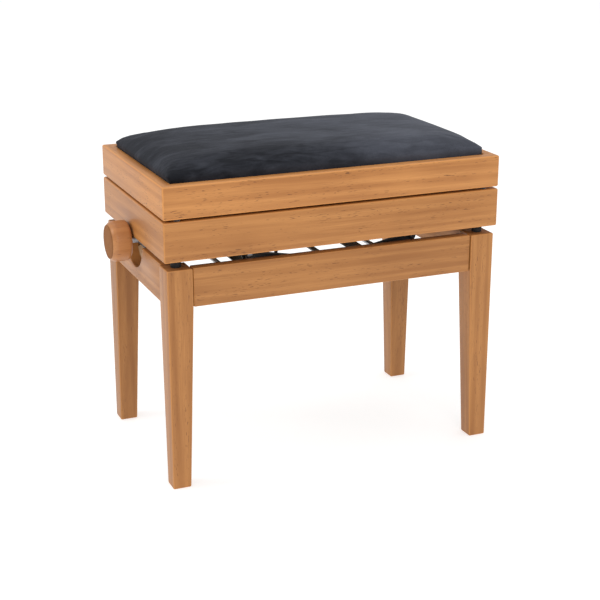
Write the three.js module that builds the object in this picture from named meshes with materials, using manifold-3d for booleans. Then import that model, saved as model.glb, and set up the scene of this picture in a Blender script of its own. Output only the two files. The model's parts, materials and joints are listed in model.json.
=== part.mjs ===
// Height-adjustable piano bench with a music compartment under the hinged, padded seat.
//
// Units are millimetres, +Z is up, the player sits facing -Y, and the origin is on the floor
// under the middle of the bench. The bench is at its lowest height with the lid closed.
//
// A leg frame carries a pair of scissor arms on each long side. The lower right ends of the
// outer arms turn on a fixed shaft, the lower left ends of the inner arms slide in slots.
// The box stands on the upper ends of the arms. A threaded spindle across the box, with a
// knob at each end, draws the sliding nut bar along and so opens the scissors.

import * as THREE from 'three';
import { mergeVertices } from 'three/addons/utils/BufferGeometryUtils.js';
import Module from 'manifold-3d';

const wasm = await Module();
wasm.setup();

// ---------------------------------------------------------------- driving dimensions

// Seat, lid and box
const SEAT_LENGTH = 555;
const SEAT_DEPTH = 326;
const LID_HEIGHT = 50;
const LID_RAIL_WIDTH = 18;
const LID_LEDGE = 8;
const LID_REBATE = 22.5;
const LID_GAP = 3.5;
const SEAT_BOARD_THICKNESS = 12;
const PAD_RIM = 3;
const PAD_CROWN = 30;
const COVER_THICKNESS = 1.5;
const BOX_HEIGHT = 60.5;
const BOX_WALL = 18;
const FLOOR_THICKNESS = 5;
const FLOOR_LIFT = 6;
const GROOVE_DEPTH = 6;
const BUMPER_RADIUS = 5;

// Leg frame
const FRAME_HEIGHT = 350;
const FRAME_INSET_X = 4;
const FRAME_INSET_Y = 2;
const LIFT_GAP = 12.5;
const LEG_SIZE = 40;
const LEG_FOOT = 29;
const APRON_HEIGHT = 60;
const APRON_THICKNESS = 18;
const APRON_SETBACK = 2.5;
const CORNER_BLOCK_REACH = 46;
const CORNER_BLOCK_HEIGHT = 30;
const CORNER_BLOCK_LIFT = 2;
const BUFFER_RADIUS = 8;

// Spindle and knobs
const SPINDLE_Y = 18;
const SPINDLE_DROP = 9.5;
const SPINDLE_RADIUS = 6;
const COLLAR_RADIUS = 9;
const COLLAR_LENGTH = 8;
const KNOB_RADIUS = 32;
const KNOB_THICKNESS = 33.5;
const KNOB_GAP = 2.5;
const KNOB_BORE_DEPTH = 20;
const KNOB_DOME = 2;
const KNOB_SHOULDER = 11;
const KNOB_HEEL = 8;
const SCALLOP_MARGIN = 12;

// Scissor lift
const PIVOT_FROM_RAIL_END = 40;
const SLIDE_FROM_RAIL_END = 45;
const ARM_WIDTH = 14;
const ARM_THICKNESS = 3;
const SCISSOR_RISE = 52;
const LIFT_TRAVEL = 95;
const SHAFT_RADIUS = 4;
const BRACE_WIDTH = 38;
const BRACE_PLACE = 0.15;
const BRACE_DROP = 1.5;
const STEEL = 2.5;
const LOWER_RAIL_END_GAP = 7.5;
const LOWER_RAIL_BELOW_PIVOT = 10.5;
const LOWER_RAIL_BELOW_TOP = 4;
const UPPER_RAIL_SETBACK = 24.5;
const RAIL_FLANGE = 20;
const EAR_RADIUS = 9;
const UPPER_LIP = 14;
const SLOT_MARGIN = 2;
const NUT_LENGTH = 24;
const NUT_WIDTH = 26;
const NUT_HEIGHT = 16.5;
const BEARING_WIDTH = 50;
const BEARING_FLANGE = 22;
const BEARING_BELOW_SPINDLE = 5;

// Lid hinges and lid stay
const HINGE_FROM_END = 107.5;
const HINGE_LENGTH = 50;
const HINGE_KNUCKLES = 5;
const LEAF_WIDTH = 16;
const LEAF_THICKNESS = 1.2;
const KNUCKLE_RADIUS = 3;
const KNUCKLE_BORE = 1.5;
const HINGE_PIN_RADIUS = 1.3;
const STAY_ON_BOX = [-90, -30];
const STAY_ON_LID = [-110, 8];
const STAY_WIDTH = 11;
const STAY_THICKNESS = 2;
const STAY_PIN_RADIUS = 2;
const STAY_PLATE = 24;

// Clearances
const GAP = 0.3;
const RUNNING = 0.5;
const BORE_PLAY = 0.4;

// How far a cutter runs past what it cuts
const OVERCUT = 5;

// ---------------------------------------------------------------- derived places

const FRAME_LENGTH = SEAT_LENGTH - 2 * FRAME_INSET_X;
const FRAME_DEPTH = SEAT_DEPTH - 2 * FRAME_INSET_Y;
const BOX_BOTTOM = FRAME_HEIGHT + LIFT_GAP;
const BOX_TOP = BOX_BOTTOM + BOX_HEIGHT;
const LID_BOTTOM = BOX_TOP + LID_GAP;
const LID_TOP = LID_BOTTOM + LID_HEIGHT;
const LEDGE_TOP = LID_TOP - LID_REBATE;
const APRON_BOTTOM = FRAME_HEIGHT - APRON_HEIGHT;
const FLOOR_BOTTOM = BOX_BOTTOM + FLOOR_LIFT;
const SPINDLE_Z = BOX_BOTTOM - SPINDLE_DROP;
const LOWER_PIVOT_Z = SPINDLE_Z - SCISSOR_RISE;

// The arms are as long as the lower rails let them be; their ends travel as the arms open.
const LOWER_RAIL_LENGTH = FRAME_LENGTH - 2 * (LEG_SIZE + CORNER_BLOCK_REACH + LOWER_RAIL_END_GAP);
const PIVOT_X = LOWER_RAIL_LENGTH / 2 - PIVOT_FROM_RAIL_END;
const SLIDE_X = SLIDE_FROM_RAIL_END - LOWER_RAIL_LENGTH / 2;
const ARM_SPAN = Math.hypot(PIVOT_X - SLIDE_X, SCISSOR_RISE);
const OPEN_ANGLE = Math.asin((SCISSOR_RISE + LIFT_TRAVEL) / ARM_SPAN);
const SLIDE_TRAVEL = PIVOT_X - SLIDE_X - ARM_SPAN * Math.cos(OPEN_ANGLE);

// Layers of steel on each long side, counted inwards from the apron's inner face.
const APRON_INNER_Y = FRAME_DEPTH / 2 - APRON_SETBACK - APRON_THICKNESS;
const APRON_INNER_X = FRAME_LENGTH / 2 - APRON_SETBACK - APRON_THICKNESS;
const LOWER_RAIL_Y = APRON_INNER_Y - STEEL / 2;
const OUTER_ARM_Y = APRON_INNER_Y - STEEL - RUNNING - ARM_THICKNESS / 2;
const INNER_ARM_Y = OUTER_ARM_Y - ARM_THICKNESS - RUNNING;
const UPPER_RAIL_Y = INNER_ARM_Y - ARM_THICKNESS / 2 - RUNNING - STEEL / 2;

const WALL_INNER_X = SEAT_LENGTH / 2 - BOX_WALL;
const UPPER_RAIL_LENGTH = 2 * (WALL_INNER_X - UPPER_RAIL_SETBACK);
const HINGE_AXIS_Y = SEAT_DEPTH / 2 + KNUCKLE_RADIUS + BORE_PLAY;
const HINGE_AXIS_Z = BOX_TOP + LID_GAP / 2;

const group = new THREE.Group();

// ---------------------------------------------------------------- finishes

const FINISHES = {
  wood: { color: 0xc47f4a, roughness: 0.45, metalness: 0 },
  turnedWood: { color: 0xba7a48, roughness: 0.4, metalness: 0 },
  plywood: { color: 0xd9bb8c, roughness: 0.7, metalness: 0 },
  velvet: { color: 0x20242c, roughness: 0.95, metalness: 0 },
  foam: { color: 0xe6dfc8, roughness: 0.9, metalness: 0 },
  blackSteel: { color: 0x16171a, roughness: 0.5, metalness: 0.4 },
  brightSteel: { color: 0xb4b6ba, roughness: 0.3, metalness: 1 },
  brass: { color: 0xc9a24c, roughness: 0.3, metalness: 1 },
  felt: { color: 0x2a2a2c, roughness: 1, metalness: 0 },
  rubber: { color: 0x17181b, roughness: 0.7, metalness: 0 },
};

function place(name, geometry, finish, x = 0, y = 0, z = 0, turn = 0) {
  const mesh = new THREE.Mesh(geometry, new THREE.MeshStandardMaterial(FINISHES[finish]));
  mesh.name = name;
  mesh.position.set(x, y, z);
  mesh.rotation.z = turn;
  group.add(mesh);
  return mesh;
}

// ---------------------------------------------------------------- solid helpers

function toSolid(geometry) {
  const bare = geometry.clone();
  bare.deleteAttribute('normal');
  bare.deleteAttribute('uv');
  const merged = mergeVertices(bare, 1e-4);
  const mesh = new wasm.Mesh({
    numProp: 3,
    vertProperties: Float32Array.from(merged.attributes.position.array),
    triVerts: Uint32Array.from(merged.index.array),
  });
  return new wasm.Manifold(mesh);
}

function toGeometry(solid) {
  const mesh = solid.getMesh();
  const geometry = new THREE.BufferGeometry();
  geometry.setAttribute('position', new THREE.BufferAttribute(mesh.vertProperties, 3));
  geometry.setIndex(new THREE.BufferAttribute(mesh.triVerts, 1));
  geometry.computeVertexNormals();
  return geometry;
}

function join(first, ...others) {
  return toGeometry(others.reduce((solid, other) => solid.add(toSolid(other)), toSolid(first)));
}

function cut(first, ...others) {
  return toGeometry(others.reduce((solid, other) => solid.subtract(toSolid(other)), toSolid(first)));
}

function block(lengthX, lengthY, lengthZ, x = 0, y = 0, z = 0) {
  return new THREE.BoxGeometry(lengthX, lengthY, lengthZ).translate(x, y, z);
}

function rodX(radius, length, x = 0, y = 0, z = 0, sides = 24) {
  return new THREE.CylinderGeometry(radius, radius, length, sides).rotateZ(Math.PI / 2).translate(x, y, z);
}

function rodY(radius, length, x = 0, y = 0, z = 0, sides = 24) {
  return new THREE.CylinderGeometry(radius, radius, length, sides).translate(x, y, z);
}

// A bar with round ends between two pivots, lying in the XZ plane, with round holes.
function linkShape(from, to, width, holes) {
  const along = new THREE.Vector2(to[0] - from[0], to[1] - from[1]);
  const angle = along.angle();
  const shape = new THREE.Shape();
  shape.absarc(to[0], to[1], width / 2, angle - Math.PI / 2, angle + Math.PI / 2, false);
  shape.absarc(from[0], from[1], width / 2, angle + Math.PI / 2, angle + (3 * Math.PI) / 2, false);
  shape.closePath();
  for (const [x, z, radius] of holes) {
    const hole = new THREE.Path();
    hole.absarc(x, z, radius, 0, 2 * Math.PI, true);
    shape.holes.push(hole);
  }
  return shape;
}

// Extrudes an XZ outline to a plate whose middle lies at y.
function plateXZ(shape, thickness, y, curveSegments = 10) {
  const plate = new THREE.ExtrudeGeometry(shape, { depth: thickness, bevelEnabled: false, curveSegments });
  return plate.rotateX(Math.PI / 2).translate(0, y + thickness / 2, 0);
}

// Extrudes a YZ outline to a plate whose middle lies at x.
function plateYZ(shape, thickness, x, curveSegments = 10) {
  const plate = new THREE.ExtrudeGeometry(shape, { depth: thickness, bevelEnabled: false, curveSegments });
  return plate.rotateY(Math.PI / 2).rotateX(Math.PI / 2).translate(x - thickness / 2, 0, 0);
}

function slot(fromX, toX, z, radius) {
  return linkShape([fromX, z], [toX, z], 2 * radius, []);
}

// A board with mitred ends: its outer face on y = 0, its inner face on y = width, its foot on z = 0.
function mitredBoard(length, width, height) {
  const plan = new THREE.Shape([
    new THREE.Vector2(-length / 2, 0),
    new THREE.Vector2(length / 2, 0),
    new THREE.Vector2(length / 2 - width, width),
    new THREE.Vector2(-length / 2 + width, width),
  ]);
  return new THREE.ExtrudeGeometry(plan, { depth: height, bevelEnabled: false });
}

const SIDES = [
  { side: 'front', x: 0, y: -SEAT_DEPTH / 2, turn: 0, length: SEAT_LENGTH },
  { side: 'right', x: SEAT_LENGTH / 2, y: 0, turn: Math.PI / 2, length: SEAT_DEPTH },
  { side: 'back', x: 0, y: SEAT_DEPTH / 2, turn: Math.PI, length: SEAT_LENGTH },
  { side: 'left', x: -SEAT_LENGTH / 2, y: 0, turn: -Math.PI / 2, length: SEAT_DEPTH },
];

const CORNERS = [
  { corner: 'front_left', sx: -1, sy: -1 },
  { corner: 'front_right', sx: 1, sy: -1 },
  { corner: 'back_left', sx: -1, sy: 1 },
  { corner: 'back_right', sx: 1, sy: 1 },
];

const FRONT_BACK = [['front', -1], ['back', 1]];
const LEFT_RIGHT = [['left', -1], ['right', 1]];

// ---------------------------------------------------------------- leg frame

// Both inner faces slope in from the aprons' lower edge to the floor; the outer faces are upright.
function taperedLeg(sx, sy) {
  const leg = new THREE.BoxGeometry(LEG_SIZE, LEG_SIZE, FRAME_HEIGHT, 1, 1, 2);
  const points = leg.attributes.position;
  for (let i = 0; i < points.count; i += 1) {
    const level = Math.round((2 * points.getZ(i)) / FRAME_HEIGHT);
    const width = level < 0 ? LEG_FOOT : LEG_SIZE;
    const inX = points.getX(i) * sx < 0 ? width : 0;
    const inY = points.getY(i) * sy < 0 ? width : 0;
    const z = [0, APRON_BOTTOM, FRAME_HEIGHT][level + 1];
    points.setXYZ(i, -sx * inX, -sy * inY, z);
  }
  return leg;
}

for (const { corner, sx, sy } of CORNERS) {
  place(`leg_${corner}`, taperedLeg(sx, sy), 'wood', (sx * FRAME_LENGTH) / 2, (sy * FRAME_DEPTH) / 2);
}

const SCALLOP_RADIUS = KNOB_RADIUS + SCALLOP_MARGIN;

for (const [side, sy] of FRONT_BACK) {
  const apron = block(FRAME_LENGTH - 2 * LEG_SIZE, APRON_THICKNESS, APRON_HEIGHT);
  const y = sy * (APRON_INNER_Y + APRON_THICKNESS / 2);
  place(`apron_${side}`, apron, 'wood', 0, y, APRON_BOTTOM + APRON_HEIGHT / 2);
}

// The side aprons are scooped out round the spindle, to let it pass and to clear the fingers.
for (const [side, sx] of LEFT_RIGHT) {
  const board = block(APRON_THICKNESS, FRAME_DEPTH - 2 * LEG_SIZE, APRON_HEIGHT);
  const scoopZ = SPINDLE_Z - APRON_BOTTOM - APRON_HEIGHT / 2;
  const scoop = rodX(SCALLOP_RADIUS, 2 * APRON_THICKNESS, 0, SPINDLE_Y, scoopZ, 64);
  const x = sx * (APRON_INNER_X + APRON_THICKNESS / 2);
  place(`apron_${side}`, cut(board, scoop), 'wood', x, 0, APRON_BOTTOM + APRON_HEIGHT / 2);
}

// Each corner block is notched round the leg and screwed to both aprons.
for (const { corner, sx, sy } of CORNERS) {
  const legX = FRAME_LENGTH / 2 - LEG_SIZE;
  const legY = FRAME_DEPTH / 2 - LEG_SIZE;
  const outline = [
    [APRON_INNER_X - GAP, legY - CORNER_BLOCK_REACH],
    [APRON_INNER_X - GAP, legY - GAP],
    [legX - GAP, legY - GAP],
    [legX - GAP, APRON_INNER_Y - GAP],
    [legX - CORNER_BLOCK_REACH, APRON_INNER_Y - GAP],
  ].map(([x, y]) => new THREE.Vector2(sx * x, sy * y));
  const prism = { depth: CORNER_BLOCK_HEIGHT, bevelEnabled: false };
  const blockSolid = new THREE.ExtrudeGeometry(new THREE.Shape(outline), prism);
  place(`corner_block_${corner}`, blockSolid, 'wood', 0, 0, APRON_BOTTOM + CORNER_BLOCK_LIFT);
}

// A rubber buffer on the end of each leg takes the box at its lowest height.
for (const { corner, sx, sy } of CORNERS) {
  const buffer = new THREE.CylinderGeometry(BUFFER_RADIUS, BUFFER_RADIUS, LIFT_GAP - 2 * GAP, 24);
  const x = (sx * (FRAME_LENGTH - LEG_SIZE)) / 2;
  const y = (sy * (FRAME_DEPTH - LEG_SIZE)) / 2;
  place(`leg_buffer_${corner}`, buffer.rotateX(Math.PI / 2), 'rubber', x, y, FRAME_HEIGHT + LIFT_GAP / 2);
}

// ---------------------------------------------------------------- lower steel frame

const SHAFT_BORE = SHAFT_RADIUS + BORE_PLAY;
const SLOT_START = SLIDE_X - SLOT_MARGIN;
const SLOT_END = SLIDE_X + SLIDE_TRAVEL + SLOT_MARGIN;
const LOWER_RAIL_TOP = FRAME_HEIGHT - LOWER_RAIL_BELOW_TOP;
const LOWER_RAIL_BOTTOM = LOWER_PIVOT_Z - LOWER_RAIL_BELOW_PIVOT;

for (const [side, sy] of FRONT_BACK) {
  const height = LOWER_RAIL_TOP - LOWER_RAIL_BOTTOM;
  const wall = block(LOWER_RAIL_LENGTH, STEEL, height, 0, sy * LOWER_RAIL_Y, LOWER_RAIL_BOTTOM + height / 2);
  const flangeY = sy * (APRON_INNER_Y - RAIL_FLANGE / 2);
  const flange = block(LOWER_RAIL_LENGTH, RAIL_FLANGE, STEEL, 0, flangeY, LOWER_RAIL_BOTTOM + STEEL / 2);
  const run = slot(SLOT_START, SLOT_END, LOWER_PIVOT_Z, SHAFT_BORE);
  const slideSlot = plateXZ(run, 3 * STEEL, sy * LOWER_RAIL_Y);
  place(`lower_rail_${side}`, cut(join(wall, flange), slideSlot), 'blackSteel');
}

const LOWER_SHAFT_LENGTH = 2 * (APRON_INNER_Y - STEEL - GAP);
place('lower_pivot_shaft', rodY(SHAFT_RADIUS, LOWER_SHAFT_LENGTH), 'brightSteel', PIVOT_X, 0, LOWER_PIVOT_Z);

// ---------------------------------------------------------------- scissor arms

const PIVOT_LOW = [PIVOT_X, LOWER_PIVOT_Z];
const PIVOT_HIGH = [PIVOT_X, SPINDLE_Z];
const SLIDE_LOW = [SLIDE_X, LOWER_PIVOT_Z];
const SLIDE_HIGH = [SLIDE_X, SPINDLE_Z];
const CENTRE = [(PIVOT_X + SLIDE_X) / 2, (LOWER_PIVOT_Z + SPINDLE_Z) / 2];

function arm(low, high, y) {
  const holes = [[...low, SHAFT_BORE], [...high, SHAFT_BORE], [...CENTRE, SHAFT_BORE]];
  return plateXZ(linkShape(low, high, ARM_WIDTH, holes), ARM_THICKNESS, y);
}

// A flat brace joins the two arms of a pair, a little below their middle line.
function brace(low, high, length) {
  const slope = Math.atan((high[1] - low[1]) / (high[0] - low[0]));
  const x = low[0] + BRACE_PLACE * (high[0] - low[0]);
  const z = low[1] + BRACE_PLACE * (high[1] - low[1]) - BRACE_DROP;
  return new THREE.BoxGeometry(BRACE_WIDTH, length, STEEL).rotateY(-slope).translate(x, 0, z);
}

for (const [side, sy] of FRONT_BACK) {
  place(`outer_arm_${side}`, arm(PIVOT_LOW, SLIDE_HIGH, sy * OUTER_ARM_Y), 'blackSteel');
  place(`inner_arm_${side}`, arm(SLIDE_LOW, PIVOT_HIGH, sy * INNER_ARM_Y), 'blackSteel');
}

// The arms of both sides cross on one shaft.
const CENTRE_SHAFT_LENGTH = 2 * OUTER_ARM_Y + ARM_THICKNESS;
place('centre_shaft', rodY(SHAFT_RADIUS, CENTRE_SHAFT_LENGTH), 'blackSteel', CENTRE[0], 0, CENTRE[1]);

const OUTER_BRACE_LENGTH = 2 * (OUTER_ARM_Y - ARM_THICKNESS / 2 - GAP);
const INNER_BRACE_LENGTH = 2 * (INNER_ARM_Y - ARM_THICKNESS / 2 - GAP);
place('outer_arm_brace', brace(PIVOT_LOW, SLIDE_HIGH, OUTER_BRACE_LENGTH), 'blackSteel');
place('inner_arm_brace', brace(SLIDE_LOW, PIVOT_HIGH, INNER_BRACE_LENGTH), 'blackSteel');
place('lower_slide_shaft', rodY(SHAFT_RADIUS, LOWER_SHAFT_LENGTH), 'brightSteel', SLIDE_X, 0, LOWER_PIVOT_Z);

// A cross bar with a block in it, bored for the spindle: the nut bar slides, the other one is fixed.
function boredBar() {
  const bar = rodY(SHAFT_RADIUS, LOWER_SHAFT_LENGTH);
  const head = block(NUT_LENGTH, NUT_WIDTH, NUT_HEIGHT, 0, SPINDLE_Y, 0);
  const bore = rodX(SPINDLE_RADIUS + GAP, 2 * NUT_LENGTH, 0, SPINDLE_Y, 0);
  return cut(join(bar, head), bore);
}

place('nut_bar', boredBar(), 'brightSteel', SLIDE_X, 0, SPINDLE_Z);
place('upper_pivot_bar', boredBar(), 'blackSteel', PIVOT_X, 0, SPINDLE_Z);

// ---------------------------------------------------------------- upper steel frame

const UPPER_FLANGE_TOP = FLOOR_BOTTOM;
const UPPER_FLANGE_Z = UPPER_FLANGE_TOP - STEEL / 2;

// Each upper rail is an angle under the box floor, with an ear for the pivot and a slotted ear.
for (const [side, sy] of FRONT_BACK) {
  const lipBottom = UPPER_FLANGE_TOP - UPPER_LIP;
  const y = sy * UPPER_RAIL_Y;
  const lip = block(UPPER_RAIL_LENGTH, STEEL, UPPER_LIP, 0, y, lipBottom + UPPER_LIP / 2);
  const flangeY = sy * (UPPER_RAIL_Y + STEEL / 2 - RAIL_FLANGE / 2);
  const flange = block(UPPER_RAIL_LENGTH, RAIL_FLANGE, STEEL, 0, flangeY, UPPER_FLANGE_Z);
  const earTop = [PIVOT_X, UPPER_FLANGE_TOP - EAR_RADIUS];
  const pivotEar = plateXZ(linkShape(PIVOT_HIGH, earTop, 2 * EAR_RADIUS, []), STEEL, y);
  const slideEar = plateXZ(slot(SLOT_START, SLOT_END, SPINDLE_Z, EAR_RADIUS), STEEL, y);
  const slideSlot = plateXZ(slot(SLOT_START, SLOT_END, SPINDLE_Z, SHAFT_BORE), 3 * STEEL, y);
  const pivotHole = rodY(SHAFT_BORE, 3 * STEEL, PIVOT_X, y, SPINDLE_Z);
  const rail = join(lip, flange, pivotEar, slideEar);
  place(`upper_rail_${side}`, cut(rail, slideSlot, pivotHole), 'blackSteel');
}

// ---------------------------------------------------------------- spindle, bearings and knobs

for (const [side, sx] of LEFT_RIGHT) {
  const top = UPPER_FLANGE_TOP;
  const bottom = SPINDLE_Z - SPINDLE_RADIUS - BEARING_BELOW_SPINDLE;
  const x = sx * (WALL_INNER_X - STEEL / 2);
  const wall = block(STEEL, BEARING_WIDTH, top - bottom, x, SPINDLE_Y, (top + bottom) / 2);
  const flangeX = sx * (WALL_INNER_X - BEARING_FLANGE / 2);
  const flange = block(BEARING_FLANGE, BEARING_WIDTH, STEEL, flangeX, SPINDLE_Y, top - STEEL / 2);
  const bore = rodX(SPINDLE_RADIUS + GAP, 4 * STEEL, x, SPINDLE_Y, SPINDLE_Z);
  place(`spindle_bearing_${side}`, cut(join(wall, flange), bore), 'blackSteel');
}

const KNOB_INNER_X = SEAT_LENGTH / 2 + KNOB_GAP;
const SPINDLE_END_X = KNOB_INNER_X + KNOB_BORE_DEPTH - GAP;

function spindle() {
  const collarX = WALL_INNER_X - STEEL - RUNNING - COLLAR_LENGTH / 2;
  return join(
    rodX(SPINDLE_RADIUS, 2 * SPINDLE_END_X),
    rodX(COLLAR_RADIUS, COLLAR_LENGTH, -collarX),
    rodX(COLLAR_RADIUS, COLLAR_LENGTH, collarX),
  );
}

place('spindle', spindle(), 'brightSteel', 0, SPINDLE_Y, SPINDLE_Z);

// A turned knob: a slightly domed face, full round shoulders and a blind bore for the spindle.
function knobProfile() {
  const shoulder = KNOB_THICKNESS - KNOB_DOME;
  const outline = new THREE.Path();
  outline.moveTo(0, KNOB_THICKNESS);
  outline.quadraticCurveTo(KNOB_RADIUS / 2, KNOB_THICKNESS, KNOB_RADIUS - KNOB_SHOULDER, shoulder);
  outline.quadraticCurveTo(KNOB_RADIUS, shoulder, KNOB_RADIUS, shoulder - KNOB_SHOULDER);
  outline.lineTo(KNOB_RADIUS, KNOB_HEEL);
  outline.quadraticCurveTo(KNOB_RADIUS, 0, KNOB_RADIUS - KNOB_HEEL, 0);
  outline.lineTo(SPINDLE_RADIUS + GAP, 0);
  outline.lineTo(SPINDLE_RADIUS + GAP, KNOB_BORE_DEPTH);
  outline.lineTo(0, KNOB_BORE_DEPTH);
  return outline.getPoints(5).reverse();
}

for (const [side, sx] of LEFT_RIGHT) {
  const knob = new THREE.LatheGeometry(knobProfile(), 40).rotateZ(-sx * Math.PI / 2);
  place(`knob_${side}`, knob, 'turnedWood', sx * KNOB_INNER_X, SPINDLE_Y, SPINDLE_Z);
}

// ---------------------------------------------------------------- music box

for (const { side, x, y, turn, length } of SIDES) {
  const board = mitredBoard(length, BOX_WALL, BOX_HEIGHT);
  const grooveHeight = FLOOR_THICKNESS + 2 * GAP;
  const grooveZ = FLOOR_LIFT - GAP + grooveHeight / 2;
  const groove = block(2 * length, GROOVE_DEPTH, grooveHeight, 0, BOX_WALL - GROOVE_DEPTH / 2, grooveZ);
  place(`box_${side}`, cut(board, groove), 'wood', x, y, BOX_BOTTOM, turn);
}

const FLOOR_SIDE = 2 * (BOX_WALL - GROOVE_DEPTH + GAP);
place('box_floor', block(SEAT_LENGTH - FLOOR_SIDE, SEAT_DEPTH - FLOOR_SIDE, FLOOR_THICKNESS), 'plywood',
  0, 0, FLOOR_BOTTOM + FLOOR_THICKNESS / 2);

for (const [side, sx] of LEFT_RIGHT) {
  const height = LID_GAP - GAP;
  const pad = new THREE.CylinderGeometry(BUMPER_RADIUS, BUMPER_RADIUS, height, 20).rotateX(Math.PI / 2);
  const x = sx * (SEAT_LENGTH / 2 - BOX_WALL - BUMPER_RADIUS);
  place(`bumper_${side}`, pad, 'felt', x, (BOX_WALL - SEAT_DEPTH) / 2, BOX_TOP + height / 2);
}

// ---------------------------------------------------------------- seat lid

for (const { side, x, y, turn, length } of SIDES) {
  const foot = mitredBoard(length, LID_RAIL_WIDTH + LID_LEDGE, LID_HEIGHT - LID_REBATE);
  const lip = mitredBoard(length, LID_RAIL_WIDTH, LID_HEIGHT);
  place(`lid_rail_${side}`, join(foot, lip), 'wood', x, y, LID_BOTTOM, turn);
}

const OPENING_LENGTH = SEAT_LENGTH - 2 * LID_RAIL_WIDTH;
const OPENING_DEPTH = SEAT_DEPTH - 2 * LID_RAIL_WIDTH;

place('seat_board', block(
  OPENING_LENGTH - 2 * (COVER_THICKNESS + 2 * GAP),
  OPENING_DEPTH - 2 * (COVER_THICKNESS + 2 * GAP),
  SEAT_BOARD_THICKNESS,
), 'plywood', 0, 0, LEDGE_TOP + GAP + SEAT_BOARD_THICKNESS / 2);

// A block with a crowned top: steep near its rim, nearly level over the middle.
function crownedPad(inset, bottom, topDrop) {
  const length = OPENING_LENGTH - 2 * inset;
  const depth = OPENING_DEPTH - 2 * inset;
  const pad = new THREE.BoxGeometry(length, depth, 2, 16, 10, 1);
  const points = pad.attributes.position;
  for (let i = 0; i < points.count; i += 1) {
    const u = (2 * points.getX(i)) / length;
    const v = (2 * points.getY(i)) / depth;
    const rise = Math.sqrt(Math.max(0, (1 - u ** 4) * (1 - v ** 4)));
    const top = LID_TOP + PAD_RIM + (PAD_CROWN - PAD_RIM) * rise - topDrop;
    points.setZ(i, points.getZ(i) > 0 ? top : bottom);
  }
  return pad;
}

const BOARD_TOP = LEDGE_TOP + GAP + SEAT_BOARD_THICKNESS;
const FOAM_INSET = 2 * GAP + COVER_THICKNESS;
place('seat_foam', crownedPad(FOAM_INSET, BOARD_TOP + GAP, COVER_THICKNESS + 2 * GAP), 'foam');
place('seat_cover', cut(
  crownedPad(GAP, LEDGE_TOP + GAP, 0),
  crownedPad(GAP + COVER_THICKNESS, LEDGE_TOP - OVERCUT, COVER_THICKNESS),
), 'velvet');

// ---------------------------------------------------------------- lid hinges

// A butt hinge leaf lies flat in the gap and carries every other knuckle round the pin.
// On the side of the gap, +1 above the leaf or -1 below it, nothing stands on the leaf.
function hingeLeaf(leafZ, firstKnuckle, gapSide) {
  const pitch = HINGE_LENGTH / HINGE_KNUCKLES;
  const plateY = SEAT_DEPTH / 2 - LEAF_WIDTH / 2;
  const z = leafZ - HINGE_AXIS_Z;
  const plate = block(HINGE_LENGTH, LEAF_WIDTH, LEAF_THICKNESS, 0, plateY - HINGE_AXIS_Y, z);
  const knuckles = [];
  for (let i = firstKnuckle; i < HINGE_KNUCKLES; i += 2) {
    const x = (i + 0.5) * pitch - HINGE_LENGTH / 2;
    const reach = KNUCKLE_RADIUS + BORE_PLAY;
    knuckles.push(rodX(KNUCKLE_RADIUS, pitch - GAP, x));
    knuckles.push(block(pitch - GAP, reach, LEAF_THICKNESS, x, -reach / 2 - BORE_PLAY, z));
  }
  const bore = rodX(KNUCKLE_BORE, 2 * HINGE_LENGTH);
  const clearY = -2 * LEAF_WIDTH - KNUCKLE_RADIUS - BORE_PLAY;
  const clearZ = z + (gapSide * (LEAF_THICKNESS + OVERCUT)) / 2;
  const clear = block(2 * HINGE_LENGTH, 4 * LEAF_WIDTH, OVERCUT, 0, clearY, clearZ);
  return cut(join(plate, ...knuckles), bore, clear);
}

const LOWER_LEAF_Z = BOX_TOP + LEAF_THICKNESS / 2;
const UPPER_LEAF_Z = LID_BOTTOM - LEAF_THICKNESS / 2;

for (const [side, sx] of LEFT_RIGHT) {
  const x = sx * (SEAT_LENGTH / 2 - HINGE_FROM_END);
  const lower = hingeLeaf(LOWER_LEAF_Z, 0, 1);
  const upper = hingeLeaf(UPPER_LEAF_Z, 1, -1);
  place(`hinge_leaf_box_${side}`, lower, 'brass', x, HINGE_AXIS_Y, HINGE_AXIS_Z);
  place(`hinge_leaf_lid_${side}`, upper, 'brass', x, HINGE_AXIS_Y, HINGE_AXIS_Z);
  place(`hinge_pin_${side}`, rodX(HINGE_PIN_RADIUS, HINGE_LENGTH), 'brass', x, HINGE_AXIS_Y, HINGE_AXIS_Z);
}

// ---------------------------------------------------------------- lid stay

// Two links close a parallelogram with the lid and the box, so that each turns as the lid does.
const STAY_A = [HINGE_AXIS_Y + STAY_ON_BOX[0], HINGE_AXIS_Z + STAY_ON_BOX[1]];
const STAY_B = [HINGE_AXIS_Y + STAY_ON_LID[0], HINGE_AXIS_Z + STAY_ON_LID[1]];
const STAY_E = [STAY_B[0] + STAY_ON_BOX[0], STAY_B[1] + STAY_ON_BOX[1]];
const LID_LEDGE_X = -(SEAT_LENGTH / 2 - LID_RAIL_WIDTH - LID_LEDGE);
const LID_LINK_X = LID_LEDGE_X + STEEL + GAP + STAY_THICKNESS / 2;
const BOX_LINK_X = LID_LINK_X + STAY_THICKNESS + GAP;
const STAY_HOLE = STAY_PIN_RADIUS + BORE_PLAY / 2;

function stayPin(point, fromX, toX) {
  return rodX(STAY_PIN_RADIUS, toX - fromX, (fromX + toX) / 2, point[0], point[1], 16);
}

const LINK_FACE_X = BOX_LINK_X + STAY_THICKNESS / 2;
const boxLinkShape = linkShape(STAY_A, STAY_E, STAY_WIDTH, [[...STAY_A, STAY_HOLE]]);
const boxLink = plateYZ(boxLinkShape, STAY_THICKNESS, BOX_LINK_X);
const elbowPin = stayPin(STAY_E, LID_LINK_X - STAY_THICKNESS / 2, BOX_LINK_X);
place('stay_link_box', join(boxLink, elbowPin), 'brightSteel');

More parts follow.
